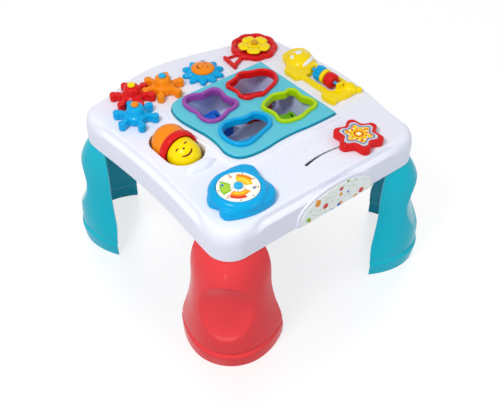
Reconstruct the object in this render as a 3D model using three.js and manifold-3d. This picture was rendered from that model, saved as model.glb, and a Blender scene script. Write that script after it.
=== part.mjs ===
// Musical activity table for small children, with gears, a roller, beads, a shape sorter and a music
// button.
// Millimetres, +Z up. The origin is on the floor under the middle of the table, and the front is the -Y side.
// Heights named "rise" or "depth" count from the table's top surface.

import * as THREE from "three";
import { mergeVertices } from "three/addons/utils/BufferGeometryUtils.js";
import Module from "manifold-3d";

const wasm = await Module();
wasm.setup();

// Clearances
const seatGap = 0.3; // between two pieces that rest on or in each other
const turnGap = 0.5; // beside what turns or slides
const overrun = 1; // how far a cutting shape passes the face that it cuts

// Table shell
const tableHalf = 200; // middle to side, where the side is straight
const tableHeight = 256; // floor to top surface
const skirtDepth = 53;
const shellWall = 3;
const cornerRadius = 38;
const leftBow = -8; // how far each side swells past its straight line
const frontBow = 0;
const rightBow = 22;
const backBow = 31;
const backLeanShare = 0.7; // how much more the back swells toward its left end
const bowPower = 1.5; // over one keeps the sides smooth where they meet the corners
const edgeStep = 2.5; // the sides step in here, a little below the top
const edgeStepDepth = 14;
const edgeRound = 9; // top edge, inward
const edgeRoundDepth = 6;
const cornerSteps = 6;
const sideSteps = 8;

// Legs
const legFlare = 34; // the foot's outermost point, outside the table's side
const footBandHeight = 26;
const footBandStep = 2.5;
const legWall = 3;
const legTopInset = 1.5; // inside the skirt's outline
const legCornerRadius = 72; // at the floor
const neckHeight = 24; // inside the skirt
const neckInset = 5.2;
const neckReach = 72; // from the table's side line to the neck's free edge
const wingReachTop = 75; // the same for the wing, under the skirt and at the floor
const wingReachFoot = 102;
const wingShares = [ // of the leg's height, and of the way from the foot's reach to the top's
  [0, 0], [0.13, 0], [0.22, 0.05], [0.3, 0.17], [0.43, 0.42], [0.6, 0.62], [0.78, 0.65], [0.9, 0.79], [1, 1],
];
const wingSwellShares = [ // how much of the leg's own swelling its free edges follow
  [0, 0.44], [0.14, 0.44], [0.22, 0.37], [0.3, 0.29], [0.43, 0.23], [0.6, 0.2], [1, 0.2],
];
const footShares = [[0, 0.97], [0.9, 1]]; // of the band's height, and of the reach past the leg's top
const waistShares = [
  [0.22, 0.91], [0.3, 0.87], [0.43, 0.79], [0.56, 0.69], [0.7, 0.58], [0.82, 0.44], [0.91, 0.26], [1, 0],
];
const dimpleDepth = 10;
const dimpleWidth = 84;
const dimpleHeight = 106;
const dimpleMiddle = 112; // above the floor
const dimplePower = 0.75; // under one flattens its floor
const legSideSteps = 3;
const legCornerSteps = 6;
const legScrewInset = 44; // from both side lines
const bossRadius = 6;

// Screws
const screwRadius = 1.6;
const screwHoleRadius = 1.9;
const screwHeadRadius = 4.6;
const screwHeadHeight = 2;
const legScrewLength = 20;
const spinScrewLength = 9;

// Underside cover, battery bay and loudspeaker
const coverThickness = 3;
const coverInset = 3.4;
const cellRadius = 7.1;
const cellLength = 50;
const cellGap = 1;
const cellCount = 3;
const bayX = -64;
const bayInset = 46; // from the front side line to the bay's middle
const bayWall = 2;
const bayWallHeight = 10;
const doorThickness = 2.4;
const speakerRadius = 19;
const speakerHeight = 12;
const speakerAside = 6; // from the bay's middle
const speakerBehind = 58;
const speakerRim = 3;
const grilleHoleRadius = 2;
const grilleRing = 10;
const grilleHoles = 5;

// Sorter panel
const panelX = 14;
const panelY = 12;
const panelHalfX = 104;
const panelHalfY = 96;
const panelHeight = 9;
const panelWall = 3;
const panelRound = 3;
const surroundWidth = 11; // white raised border along the left and front edges
const surroundHeight = 4;
const panelWaveShares = [
  [-0.67, 1], [-0.86, 0.93], [-0.97, 0.75], [-1, 0.48], [-0.96, 0.17], [-0.91, -0.13], [-0.91, -0.42],
  [-0.94, -0.67], [-0.87, -0.88], [-0.69, -0.97], [-0.41, -0.99], [-0.13, -0.96], [0.17, -0.96],
  [0.48, -0.99], [0.75, -1],
];

// Holes of the sorter: each rim's outer edge, and its middle and half sizes as shares of the panel's
const rimWidth = 6.6;
const rimHeight = 5.8;
const rimSleeve = 1.7; // wall of the sleeve that lines the hole
const rimSleeveDepth = 7;
const rimCrestShares = [0.3, 0.7]; // of its width, the flat of its crest
const rimSideShare = 1 / 3; // of its height, the upright part of its sides
const rimSteps = 24;
const holes = [
  {
    name: "back_left", rim: "purple", block: "violet",
    placeShares: [-0.418, 0.464], sizeShares: [0.38, 0.464],
    shares: [
      [-0.88, 0.72], [-0.6, 0.97], [-0.22, 0.96], [0.14, 0.8], [0.5, 0.82], [0.85, 0.75], [0.95, 0.45],
      [0.86, 0.12], [0.93, -0.2], [1, -0.5], [0.75, -0.74], [0.33, -0.78], [-0.03, -0.92], [-0.45, -1],
      [-0.8, -0.86], [-0.96, -0.5], [-0.88, -0.1], [-0.97, 0.3],
    ],
  },
  {
    name: "back_right", rim: "red", block: "red",
    placeShares: [0.486, 0.505], sizeShares: [0.447, 0.411],
    shares: [
      [-0.84, 0.7], [-0.46, 0.77], [-0.05, 1], [0.34, 0.78], [0.74, 0.62], [0.99, 0.2], [0.88, -0.36],
      [0.55, -0.66], [0.12, -0.84], [-0.22, -0.98], [-0.5, -0.84], [-0.82, -0.8], [-0.98, -0.42],
      [-0.89, 0.02], [-0.98, 0.4],
    ],
  },
  {
    name: "front_right", rim: "lime", block: "green",
    placeShares: [0.514, -0.38], sizeShares: [0.409, 0.422],
    shares: [
      [-0.86, 0.66], [-0.4, 0.9], [0.03, 0.99], [0.36, 0.82], [0.7, 0.87], [0.92, 0.6], [0.83, 0.18],
      [0.95, -0.2], [0.98, -0.6], [0.72, -0.8], [0.34, -0.86], [-0.06, -0.98], [-0.46, -0.94], [-0.84, -0.8],
      [-0.97, -0.5], [-0.87, -0.14], [-0.9, 0.2], [-0.96, 0.44],
    ],
  },
  {
    name: "front_left", rim: "blue", block: "sky",
    placeShares: [-0.361, -0.432], sizeShares: [0.438, 0.37],
    shares: [
      [-0.86, 0.68], [-0.43, 0.98], [0, 0.88], [0.34, 0.72], [0.7, 0.76], [0.97, 0.42], [1, -0.1],
      [0.78, -0.52], [0.34, -0.72], [-0.05, -0.88], [-0.45, -0.99], [-0.82, -0.8], [-1, -0.28], [-0.99, 0.26],
    ],
  },
];

// Sorter bin and blocks
const binX = 21;
const binY = 18;
const binHalfX = 85; // inside
const binHalfY = 78;
const binWall = 2;
const binFloor = 2.5;
const binCorner = 12;
const binSteps = 4;
const blockClearance = 2.4; // to the hole that it passes through
const blockHeight = 20;
const blockKnobRadius = 9;
const blockKnobHeight = 8;
const blockRound = 1.5;

// Spinning toys on posts
const postRadius = 3.6;
const postBoreGap = 0.4;
const spinLift = 1; // under what turns on the table
const spinHeadGap = 0.5;

// Gears
const gearTeeth = 6;
const gearReach = 38;
const gearDistance = 55.5;
const gearRootGap = 1;
const toothHeadRadius = 6.6;
const toothNeckHalf = 4.3;
const toothHeight = 13;
const toothSteps = 5;
const gearRound = 2;
const hubBottomRadius = 15.5;
const hubWaistRadius = 12;
const hubTopRadius = 8.6;
const hubHeight = 29;
const hubWaistHeight = 22;
const gearPostHeight = 20;
const gearCapRadius = 6.3;
const gearCapHeight = 4;
const gearInsetX = 85.5; // the red gear, from the left and back side lines
const gearInsetY = 40;
const redGearTurn = 22; // degrees
const blueGearBearing = -117; // degrees, seen from the red gear
const orangeGearBearing = -9.4;

// Sun
const sunX = 22;
const sunInset = 51; // from the back side line
const sunReach = 37.5;
const sunValley = 26;
const sunRays = 10;
const sunTurn = 18; // degrees
const sunHeight = 11;
const sunTipHeight = 4.2; // thickness of a ray's tip, from where the wheel rises to its seat
const sunPostHeight = 8;
const sunFaceRadius = 20;
const sunFaceHeight = 6.5;
const sunSeatMargin = 0.8;

// Roller
const rollerInset = 72; // from the left side line
const rollerY = 14; // middle of its well
const rollerDepth = 4; // axle below the top surface
const hoodRadius = 30;
const hoodLength = 42;
const hoodStraightShare = 0.35; // of its length, before the dome
const bandRadius = 32.5;
const bandLength = 14;
const bandFront = 4; // where the band's front lies along Y
const faceRadius = 25.5;
const faceStart = 10.5; // flat part of the face dome
const rollerAxleRadius = 2;
const wellHalfX = 33.5;
const wellHalfY = 49;
const wellCorner = 30;
const wellWall = 2.5;
const wellFloorGap = 2;
const moundHeight = 8;
const moundHalfX = 27;
const moundHalfY = 11;
const moundShares = [[1, 0], [0.92, 0.4], [0.7, 0.75], [0.4, 1]]; // of its half sizes and of its height

// Tree frame with its flower spinner
const crownInsetX = 58; // from the right and back side lines
const crownInsetY = 43;
const crownRadius = 42.5;
const crownScallop = 3;
const crownScallops = 9;
const scallopSteps = 4;
const crownHeight = 9;
const crownRound = 2.5;
const trunkReach = 64; // from the crown's middle to the foot bar's
const trunkFork = 34; // to where the bars leave the crown
const footBarBack = 5; // behind the crown's middle, the bar's ends
const footBarFront = -29.5;
const forkFront = -11;
const forkBack = -1;
const footBarHalf = 3.4; // half widths
const frontBarHalf = 3.6;
const backBarHalf = 2;
const flowerAside = -5; // from the crown's middle
const flowerBehind = -7;
const flowerReach = 29;
const flowerValleyShare = 0.66;
const flowerPetals = 5;
const petalSteps = 6;
const flowerHeight = 8;
const flowerCapRadius = 6.5;
const flowerCapHeight = 4;

// Animal frame with its beads
const animalInset = 31.5; // from the right side line
const animalY = 20;
const animalHalfX = 37.5;
const animalHalfY = 84;
const animalHeight = 9;
const animalRound = 2;
const headAside = 7.5; // from the frame's middle
const headBehind = 49;
const headHalfX = 26.5;
const headHalfY = 27.5;
const headRise = 20.5;
const rumpAside = 15.5;
const rumpBehind = -66;
const rumpHalfX = 13;
const rumpHalfY = 15;
const rumpRise = 15.5;
const windowHalfX = 16.5;
const windowHalfY = 31;
const windowOffsetX = -1.5;
const windowOffsetY = -25;
const windowCorner = 4;
const axleRise = 14.5;
const axleRadius = 2.6;
const lugLength = 5;
const lugHalf = 6;
const lugRise = 20;
const animalShares = [
  [-0.22, 0.94], [-0.4, 0.78], [-0.6, 0.62], [-0.94, 0.5], [-0.97, 0.32], [-0.94, 0.13], [-0.7, 0.1],
  [-0.68, -0.2], [-0.7, -0.53], [-0.97, -0.64], [-0.99, -0.82], [-0.9, -0.97], [-0.55, -0.94], [0.13, -0.97],
  [0.43, -0.92], [0.74, -1], [0.82, -0.92], [0.57, -0.8], [0.65, -0.55], [0.6, 0.1], [0.6, 0.34], [0.8, 0.48],
  [0.98, 0.72], [0.9, 0.9], [0.45, 1],
];
const beadRadius = 13.2;
const beadTooth = 1.4;
const beadTeeth = 8;
const redBeadHalf = 8.6; // half lengths along the axle
const yellowBeadHalf = 4;
const blueBeadHalf = 8;
const beadStart = 8.9; // from the window's front edge to the first bead
const beadGap = 0.9;
const beads = [
  { name: "red_round_bead", look: "red", half: redBeadHalf, teeth: 0, tooth: 0 },
  { name: "yellow_thin_bead", look: "yellow", half: yellowBeadHalf, teeth: 0, tooth: 0 },
  { name: "blue_toothed_bead", look: "blue", half: blueBeadHalf, teeth: beadTeeth, tooth: beadTooth },
];
const beadSteps = 24;
const toothPhase = 0.1; // radians, keeps a tooth's side off a corner of the outline

// Star knob in its curved slot
const slotPivotX = 33;
const slotPivotOut = 97; // outside the front side line
const slotRadius = 155;
const slotStart = 62.8; // degrees about the pivot
const slotEnd = 103;
const starBearing = 64.8;
const starOut = 5.4; // the star's middle, outside the slot's line
const slotHalf = 1.7;
const slotSteps = 10;
const starReach = 39;
const starValley = 29.5;
const starPoints = 6;
const starTurn = 5; // degrees
const starTipHalf = 7; // degrees, half the width of a blunt tip, and of a valley
const starValleyHalf = 3;
const starSteps = 5; // points of the outline to each tip
const starLift = 0.8;
const starHeight = 13;
const starRound = 2.5;
const plateShare = 0.76; // picture plate, of the star's size
const plateThickness = 1.6;
const plateRecess = 1.2;
const starNeckHalf = 1.2; // the blade that runs in the slot
const starNeckLength = 8;
const shoeRadius = 9;
const shoeThickness = 3;

// Music box
const musicInsetX = 77; // from the left and front side lines
const musicInsetY = 63;
const musicHalfX = 51;
const musicHalfY = 47.5;
const musicHeight = 22;
const musicDraft = 8; // how far the sides lean in
const draftShares = [[0, 0], [0.35, 0.12], [0.75, 0.5], [1, 1]]; // of the height and of the draft
const musicWall = 2.5;
const musicSteps = 28;
const discAside = -4; // from the housing's middle
const discBehind = -2;
const discRadius = 32;
const discThickness = 2.6;
const discTravel = 2.5;
const discRecessDepth = 6.6;
const pocketRadius = 9;
const pocketDepth = 10;
const stemRadius = 3.4;
const stemDepth = 10; // its end below the top surface
const springRadius = 6.4;
const springWire = 1.1;
const hubButtonRadius = 6.5;
const hubButtonHeight = 6;
const plungerHoleRadius = 8;
const musicShares = [
  [-0.72, 0.6], [-0.42, 0.83], [-0.06, 0.96], [0.38, 1], [0.77, 0.89], [0.98, 0.6], [0.94, 0.28],
  [0.86, -0.03], [0.88, -0.34], [0.84, -0.66], [0.6, -0.92], [0.2, -1], [-0.3, -0.95], [-0.74, -0.78],
  [-0.97, -0.6], [-0.98, -0.38], [-0.88, -0.15], [-0.98, 0.12], [-0.92, 0.36],
];
const boardHalfX = 27;
const boardHalfY = 25;
const boardThickness = 1.6;
const boardDepth = 22;
const boardAside = -6; // from the housing's middle
const boardBehind = 16;
const pillarRadius = 3;
const pillarInset = 4;

// Nameplate on the front of the skirt
const plateX = 13;
const plateHalf = 73;
const plateRise = 43;
const plateDepthOnSkirt = 0.9;
const padMargin = 7;
const padDepth = 2.5;
const archSteps = 12;
const archPower = 0.7; // under one fills the arch out towards its ends

// Pegs that hold the frames on the top
const pegRadius = 2.5;
const pegGap = 0.3;
const pegDepth = 6;
const crownPegShare = 0.64; // how far out the pegs stand, of each frame's half size
const animalPegShare = 0.76;
const musicPegShare = 0.62;

// Small domes, such as caps: where their one ridge lies
const domeShare = 0.7; // of the radius
const domeRiseShare = 0.82; // of the height

// Facets
const smallSides = 8;
const hubSides = 15;
const roundSides = 20;
const domeSteps = 5;

// Colours, roughness and metalness
const looks = {
  white: [0xf1f2fa, 0.32, 0],
  teal: [0x00acc1, 0.3, 0],
  coral: [0xe8484c, 0.3, 0],
  panel: [0x64c8da, 0.3, 0],
  grey: [0x969bbe, 0.45, 0],
  blue: [0x00a5eb, 0.25, 0],
  red: [0xd71e1e, 0.25, 0],
  orange: [0xf58c0a, 0.25, 0],
  yellow: [0xffe100, 0.3, 0],
  purple: [0xa050aa, 0.3, 0],
  violet: [0x5a4ba8, 0.3, 0],
  lime: [0xafd70a, 0.3, 0],
  green: [0x7fbf26, 0.3, 0],
  sky: [0x3fc0f0, 0.3, 0],
  amber: [0xd98a1c, 0.3, 0],
  picture: [0xfdf6dc, 0.4, 0],
  board: [0x1f6b3a, 0.6, 0],
  steel: [0xb4b6ba, 0.3, 1],
  black: [0x26262a, 0.6, 0],
};

// Places that keep their distance from the table's sides
const legReach = tableHalf + legFlare;
const neckEnd = tableHalf - neckReach;
const wingEndTop = tableHalf - wingReachTop;
const wingEndFoot = tableHalf - wingReachFoot;
const legScrewPlace = tableHalf - legScrewInset;
const bayY = bayInset - tableHalf;
const speakerX = bayX + speakerAside;
const speakerY = bayY + speakerBehind;
const redGearX = gearInsetX - tableHalf;
const redGearY = tableHalf - gearInsetY;
const sunY = tableHalf - sunInset;
const rollerX = rollerInset - tableHalf;
const crownX = tableHalf - crownInsetX;
const crownY = tableHalf - crownInsetY;
const flowerX = crownX + flowerAside;
const flowerY = crownY + flowerBehind;
const animalX = tableHalf - animalInset;
const slotPivotY = -tableHalf - slotPivotOut;
const musicX = musicInsetX - tableHalf;
const musicY = musicInsetY - tableHalf;
const discX = musicX + discAside;
const discY = musicY + discBehind;
const boardX = musicX + boardAside;
const boardY = musicY + boardBehind;

const radians = (degrees) => THREE.MathUtils.degToRad(degrees);
const point = (x, y) => new THREE.Vector2(x, y);
const raised = (outline, z) => outline.map((p) => new THREE.Vector3(p.x, p.y, z));

// Solids from three.js geometry, with shared corners merged and the faces turned outward
function solidOf(geometry) {
  const bare = geometry.clone();
  bare.deleteAttribute("normal");
  bare.deleteAttribute("uv");
  const merged = mergeVertices(bare);
  const corners = merged.attributes.position.array;
  const faces = [];
  for (let i = 0; i < merged.index.count; i += 3) {
    const [a, b, c] = [0, 1, 2].map((k) => merged.index.getX(i + k));
    if (a !== b && b !== c && c !== a) faces.push(a, b, c);
  }
  if (signedVolume(corners, faces) < 0) faces.reverse();
  return new wasm.Manifold(new wasm.Mesh({
    numProp: 3,
    vertProperties: new Float32Array(corners),
    triVerts: new Uint32Array(faces),
  }));
}

function signedVolume(corners, faces) {
  const at = (i) => new THREE.Vector3().fromArray(corners, 3 * i);
  let volume = 0;
  for (let i = 0; i < faces.length; i += 3) {
    volume += at(faces[i]).dot(at(faces[i + 1]).cross(at(faces[i + 2])));
  }
  return volume;
}

function meshed(points, faces) {
  const geometry = new THREE.BufferGeometry();
  geometry.setAttribute("position", new THREE.Float32BufferAttribute(points.flatMap((p) => p.toArray()), 3));
  geometry.setIndex(faces);
  return solidOf(geometry);
}

// A closed body through rings with equal numbers of points, lowest first
function lofted(rings) {
  const count = rings[0].length;
  const top = (rings.length - 1) * count;
  const faces = [];
  for (let level = 0; level < top; level += count) {
    for (let i = 0; i < count; i += 1) {
      const next = (i + 1) % count;
      faces.push(level + i, level + next, level + count + next);
      faces.push(level + i, level + count + next, level + count + i);
    }
  }
  const capOf = (ring) => THREE.ShapeUtils.triangulateShape(ring.map((p) => point(p.x, p.y)), []);
  for (const [a, b, c] of capOf(rings[0])) faces.push(a, c, b);
  for (const [a, b, c] of capOf(rings.at(-1))) faces.push(top + a, top + b, top + c);
  return meshed(rings.flat(), faces);
}

// A closed hoop along an outline, whose section is a list of [inset, height]
function hoop(outline, section) {
  const rings = section.map(([inset, z]) => raised(insetOutline(outline, inset), z));
  const count = outline.length;
  const faces = [];
  rings.forEach((ring, j) => {
    const level = j * count;
    const above = ((j + 1) % rings.length) * count;
    for (let i = 0; i < count; i += 1) {
      const next = (i + 1) % count;
      faces.push(level + i, level + next, above + next, level + i, above + next, above + i);
    }
  });
  return meshed(rings.flat(), faces);
}

// An upright slab with its top edge rounded, and its bottom edge too if that is asked for
function slab(outline, low, high, round = 0, lowRound = 0) {
  const rings = [];
  if (lowRound > 0) rings.push(raised(insetOutline(outline, lowRound), low));
  rings.push(raised(outline, low + lowRound));
  if (round > 0) {
    const half = 1 - Math.SQRT1_2;
    rings.push(raised(outline, high - round));
    rings.push(raised(insetOutline(outline, round * half), high - round * half));
    rings.push(raised(insetOutline(outline, round), high));
  } else {
    rings.push(raised(outline, high));
  }
  return lofted(rings);
}

function rod(radius, low, high, x = 0, y = 0, sides = smallSides) {
  const cylinder = new THREE.CylinderGeometry(radius, radius, high - low, sides);
  cylinder.rotateX(Math.PI / 2);
  cylinder.translate(x, y, (high + low) / 2);
  return solidOf(cylinder);
}

function box(x0, x1, y0, y1, z0, z1) {
  const geometry = new THREE.BoxGeometry(x1 - x0, y1 - y0, z1 - z0);
  geometry.translate((x0 + x1) / 2, (y0 + y1) / 2, (z0 + z1) / 2);
  return solidOf(geometry);
}

// A body turned about Z from a profile of [radius, height], closed on itself or ended on the axis
function turned(profile, sides = roundSides) {
  const lathe = new THREE.LatheGeometry(profile.map(([r, z]) => point(r, z)), sides);
  lathe.rotateX(Math.PI / 2);
  return solidOf(lathe);
}

// Outlines
function insetOutline(outline, inset) {
  const count = outline.length;
  return outline.map((p, i) => {
    const before = outline[(i + count - 1) % count];
    const after = outline[(i + 1) % count];
    const inA = point(before.y - p.y, p.x - before.x).normalize();
    const inB = point(p.y - after.y, after.x - p.x).normalize();
    const middle = inA.clone().add(inB).normalize();
    return p.clone().addScaledVector(middle, inset / Math.max(middle.dot(inA), Math.SQRT1_2));
  });
}

function smoothLoop(points, count) {
  const corners = points.map((p) => new THREE.Vector3(p.x, p.y, 0));
  const curve = new THREE.CatmullRomCurve3(corners, true, "centripetal");
  const spaced = curve.getSpacedPoints(count).slice(0, count).map((p) => point(p.x, p.y));
  return counterClockwise(spaced);
}

function counterClockwise(outline) {
  return THREE.ShapeUtils.area(outline) < 0 ? outline.reverse() : outline;
}

function fromShares(shares, x, y, halfX, halfY) {
  return shares.map(([a, b]) => point(x + a * halfX, y + b * halfY));
}

function polar(count, radiusAt, x = 0, y = 0) {
  return Array.from({ length: count }, (_, i) => {
    const angle = (2 * Math.PI * i) / count;
    const radius = radiusAt(angle);
    return point(x + radius * Math.cos(angle), y + radius * Math.sin(angle));
  });
}

function arc(x, y, radius, from, to, steps) {
  return Array.from({ length: steps + 1 }, (_, i) => {
    const angle = radians(from + ((to - from) * i) / steps);
    return point(x + radius * Math.cos(angle), y + radius * Math.sin(angle));
  });
}

function roundedBox(x, y, halfX, halfY, radius, steps) {
  const corners = [[1, 1, 0], [-1, 1, 90], [-1, -1, 180], [1, -1, 270]];
  return corners.flatMap(([sx, sy, from]) => (
    arc(x + sx * (halfX - radius), y + sy * (halfY - radius), radius, from, from + 90, steps)
  ));
}

// Round corners joined by sides that swell or draw in
function tableOutline(inset) {
  const sides = [[rightBow, 0, 0], [backBow, backLeanShare, 90], [leftBow, 0, 180], [frontBow, 0, 270]];
  const straight = tableHalf - cornerRadius;
  return sides.flatMap(([bow, lean, from]) => {
    const side = [];
    for (let i = 1; bow !== 0 && i < sideSteps; i += 1) {
      const along = (2 * i) / sideSteps - 1;
      const swell = bow * (1 - along * along) ** bowPower * (1 + lean * along);
      side.push(point(tableHalf - inset + swell, along * straight));
    }
    const corner = arc(straight, straight, cornerRadius - inset, 0, 90, cornerSteps);
    return [...side, ...corner].map((p) => p.rotateAround(point(0, 0), radians(from)));
  });
}

function panelOutline(growth) {
  const right = panelX + panelHalfX;
  const back = panelY + panelHalfY;
  const wave = fromShares(panelWaveShares, panelX, panelY, panelHalfX, panelHalfY);
  const smooth = new THREE.SplineCurve(wave).getSpacedPoints(2 * panelWaveShares.length);
  const corners = [point(right, panelY - panelHalfY), point(right, back)];
  const outline = [...smooth, ...corners];
  const stretch = 1 + growth / (2 * panelHalfX);
  return outline.map((p) => point(right - (right - p.x) * stretch, back - (back - p.y) * stretch));
}

function holeMiddle(hole) {
  const [across, behind] = hole.placeShares;
  return point(panelX + across * panelHalfX, panelY + behind * panelHalfY);
}

function rimOutline(hole) {
  const { x, y } = holeMiddle(hole);
  const [across, behind] = hole.sizeShares;
  return smoothLoop(fromShares(hole.shares, x, y, across * panelHalfX, behind * panelHalfY), rimSteps);
}

// Table top
const shellUnder = -shellWall;
const skirtEnd = -skirtDepth;
const slotPlace = (radius) => (
  arc(slotPivotX, slotPivotY, radius, starBearing, starBearing, 1)[0]
);
const starPlace = slotPlace(slotRadius + starOut);
const neckPlace = slotPlace(slotRadius);
const gearPlaces = gearTrain();

function gearTrain() {
  const meshedWith = (bearing) => ({
    x: redGearX + gearDistance * Math.cos(radians(bearing)),
    y: redGearY + gearDistance * Math.sin(radians(bearing)),
    turn: 2 * bearing - redGearTurn + 180 + 180 / gearTeeth,
  });
  return {
    red: { x: redGearX, y: redGearY, turn: redGearTurn, cap: "yellow" },
    blue: { ...meshedWith(blueGearBearing), cap: "orange" },
    orange: { ...meshedWith(orangeGearBearing), cap: "sky" },
  };
}

function tableShell() {
  const outer = lofted([
    raised(tableOutline(0), skirtEnd),
    raised(tableOutline(0), -edgeStepDepth),
    raised(tableOutline(edgeStep), -edgeStepDepth + edgeStep),
    raised(tableOutline(edgeStep + edgeRound / 4), -edgeRoundDepth / 2),
    raised(tableOutline(edgeStep + edgeRound), 0),
  ]);
  const inner = lofted([
    raised(tableOutline(shellWall), skirtEnd - overrun),
    raised(tableOutline(shellWall), -edgeStepDepth - shellWall),
    raised(tableOutline(shellWall + edgeStep + edgeRound / 2), -edgeRoundDepth - shellWall),
    raised(tableOutline(shellWall + edgeStep + edgeRound), shellUnder),
  ]);
  return outer.subtract(inner);
}

function surroundRing() {
  const outer = slab(panelOutline(surroundWidth), shellUnder / 2, surroundHeight, surroundHeight / 3);
  const inner = slab(insetOutline(panelOutline(0), -turnGap), shellUnder, surroundHeight + overrun);
  return outer.subtract(inner);
}

function rollerWell(wall, low, high) {
  const [halfX, halfY] = [wellHalfX + wall, wellHalfY + wall];
  return slab(roundedBox(rollerX, rollerY, halfX, halfY, wellCorner + wall, binSteps), low, high);
}

const wellFloor = -(rollerDepth + bandRadius + wellFloorGap);

function slotShape(half, low, high) {
  const outline = counterClockwise([
    ...arc(slotPivotX, slotPivotY, slotRadius + half, slotStart, slotEnd, slotSteps),
    ...arc(slotPivotX, slotPivotY, slotRadius - half, slotEnd, slotStart, slotSteps),
  ]);
  return slab(outline, low, high);
}

function frontMound() {
  const y = rollerY - wellHalfY - wellWall - moundHalfY;
  const unit = polar(roundSides, () => 1);
  const ring = (spread, z) => raised(unit.map((p) => (
    point(rollerX + p.x * moundHalfX * spread, y + p.y * moundHalfY * spread)
  )), z);
  const rings = moundShares.map(([spread, rise]) => ring(spread, moundHeight * rise));
  return lofted([ring(1, shellUnder / 2), ...rings]);
}

// Upright arch plate on the front of the skirt
function archPlate(margin, near, depth) {
  const rise = plateRise + margin;
  const half = plateHalf + margin;
  const curve = Array.from({ length: archSteps + 1 }, (_, i) => {
    const angle = (Math.PI * i) / archSteps;
    return point(plateX + half * Math.cos(angle), skirtEnd + rise * Math.sin(angle) ** archPower);
  });
  const shape = new THREE.ExtrudeGeometry(new THREE.Shape(curve), { depth, bevelEnabled: false });
  shape.rotateX(Math.PI / 2);
  shape.translate(0, -tableHalf - near, 0);
  return solidOf(shape);
}

const postPlaces = () => [
  ...Object.values(gearPlaces).map(({ x, y }) => ({ x, y, height: gearPostHeight })),
  { x: sunX, y: sunY, height: sunPostHeight },
  { x: flowerX, y: flowerY, height: flowerPostHeight },
];

const legCorners = [[1, 1], [-1, 1], [-1, -1], [1, -1]];
const bossEnd = skirtEnd + seatGap + coverThickness + seatGap;
const boardPillars = [[1, 1], [1, -1], [-1, 1]].map(([sx, sy]) => (
  point(boardX + sx * (boardHalfX - pillarInset), boardY + sy * (boardHalfY - pillarInset))
));
const crownPegs = [
  point(crownX + crownRadius * crownPegShare, crownY - crownRadius * crownPegShare / 2),
  point(crownX - crownRadius * crownPegShare, crownY + crownRadius * crownPegShare / 2),
];
const animalPegs = [
  point(animalX, animalY + animalHalfY * animalPegShare),
  point(animalX, animalY - animalHalfY * animalPegShare),
];
const musicPegs = [
  point(musicX + musicHalfX * musicPegShare, musicY + musicHalfY * musicPegShare),
  point(musicX + musicHalfX * musicPegShare, musicY - musicHalfY * musicPegShare),
];

function tableTop() {
  let top = tableShell().add(surroundRing()).add(frontMound());
  top = top.add(archPlate(padMargin, -overrun, padDepth + overrun));
  top = top.add(rollerWell(wellWall, wellFloor - wellWall, shellUnder / 2));
  for (const { x, y, height } of postPlaces()) {
    top = top.add(rod(postRadius, shellUnder / 2, height, x, y));
    const holeLow = height + seatGap - spinScrewLength - overrun;
    top = top.subtract(rod(screwHoleRadius, holeLow, height + overrun, x, y));
  }
  for (const [sx, sy] of legCorners) {
    const [x, y] = [sx * legScrewPlace, sy * legScrewPlace];
    top = top.add(rod(bossRadius, bossEnd, shellUnder / 2, x, y));
    top = top.subtract(rod(screwHoleRadius, skirtEnd, skirtEnd + legScrewLength + overrun, x, y));
  }
  for (const p of boardPillars) {
    top = top.add(rod(pillarRadius, seatGap - boardDepth, shellUnder / 2, p.x, p.y));
  }
  top = top.subtract(rollerWell(0, wellFloor, surroundHeight + overrun));
  const axleHole = rollerAxleRadius + turnGap / 2;
  top = top.subtract(alongY(axleHole, rollerAxleLow, rollerAxleHigh, rollerX, -rollerDepth));
  const opening = binOutline(binWall + turnGap);
  top = top.subtract(slab(opening, shellUnder - overrun, surroundHeight + overrun));
  top = top.subtract(slotShape(slotHalf, shellUnder - overrun, overrun));
  top = top.subtract(rod(plungerHoleRadius, shellUnder - overrun, overrun, discX, discY));
  top = top.subtract(slab(insetOutline(musicOutline(), -turnGap), 0, surroundHeight + overrun));
  for (const p of [...crownPegs, ...animalPegs, ...musicPegs]) {
    top = top.subtract(rod(pegRadius + pegGap, shellUnder - overrun, overrun, p.x, p.y, smallSides));
  }
  return top;
}

function alongY(radius, from, to, x, z, sides = smallSides) {
  const cylinder = new THREE.CylinderGeometry(radius, radius, to - from, sides);
  cylinder.translate(x, (from + to) / 2, z);
  return solidOf(cylinder);
}

// Legs, drawn for the corner at +X and +Y, with the floor at zero
const legHeight = tableHeight - skirtDepth - seatGap;

function legSection(reach, radius, endReach, end, z) {
  const middle = reach - radius;
  const wing = [];
  for (let i = 0; i < legSideSteps; i += 1) {
    const share = 1 - i / legSideSteps;
    wing.push(point(reach - (reach - endReach) * share * share, middle - (middle - end) * share));
  }
  const corner = arc(middle, middle, radius, 0, 90, legCornerSteps);
  const mirrored = wing.map((p) => point(p.y, p.x)).reverse();
  return [...wing, ...corner, ...mirrored].map((p) => dimpled(p, z));
}

// The corner face is pressed in with a round dimple
function dimpled(p, z) {
  const aside = (p.x - p.y) / Math.SQRT2;
  const away = Math.hypot(aside / (dimpleWidth / 2), (z - dimpleMiddle) / (dimpleHeight / 2));
  const depth = away < 1 ? dimpleDepth * (1 - away * away) ** dimplePower : 0;
  return point(p.x - depth * Math.SQRT1_2, p.y - depth * Math.SQRT1_2);
}

function wallRing(outer, z, wall) {
  const closed = [...outer, point(0, 0)];
  const inner = insetOutline(closed, wall).slice(0, -1).reverse();
  return raised([...outer, ...inner], z);
}

function legLevels() {
  const top = tableHalf - legTopInset;
  const over = legReach - top;
  const level = (z, share) => ({ z, reach: top + over * share });
  const foot = footShares.map(([height, share]) => level(height * footBandHeight, share));
  const step = { z: footBandHeight + footBandStep, reach: foot.at(-1).reach - footBandStep };
  const waist = waistShares.map(([height, share]) => level(height * legHeight, share));
  return [...foot, step, ...waist];
}

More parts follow.
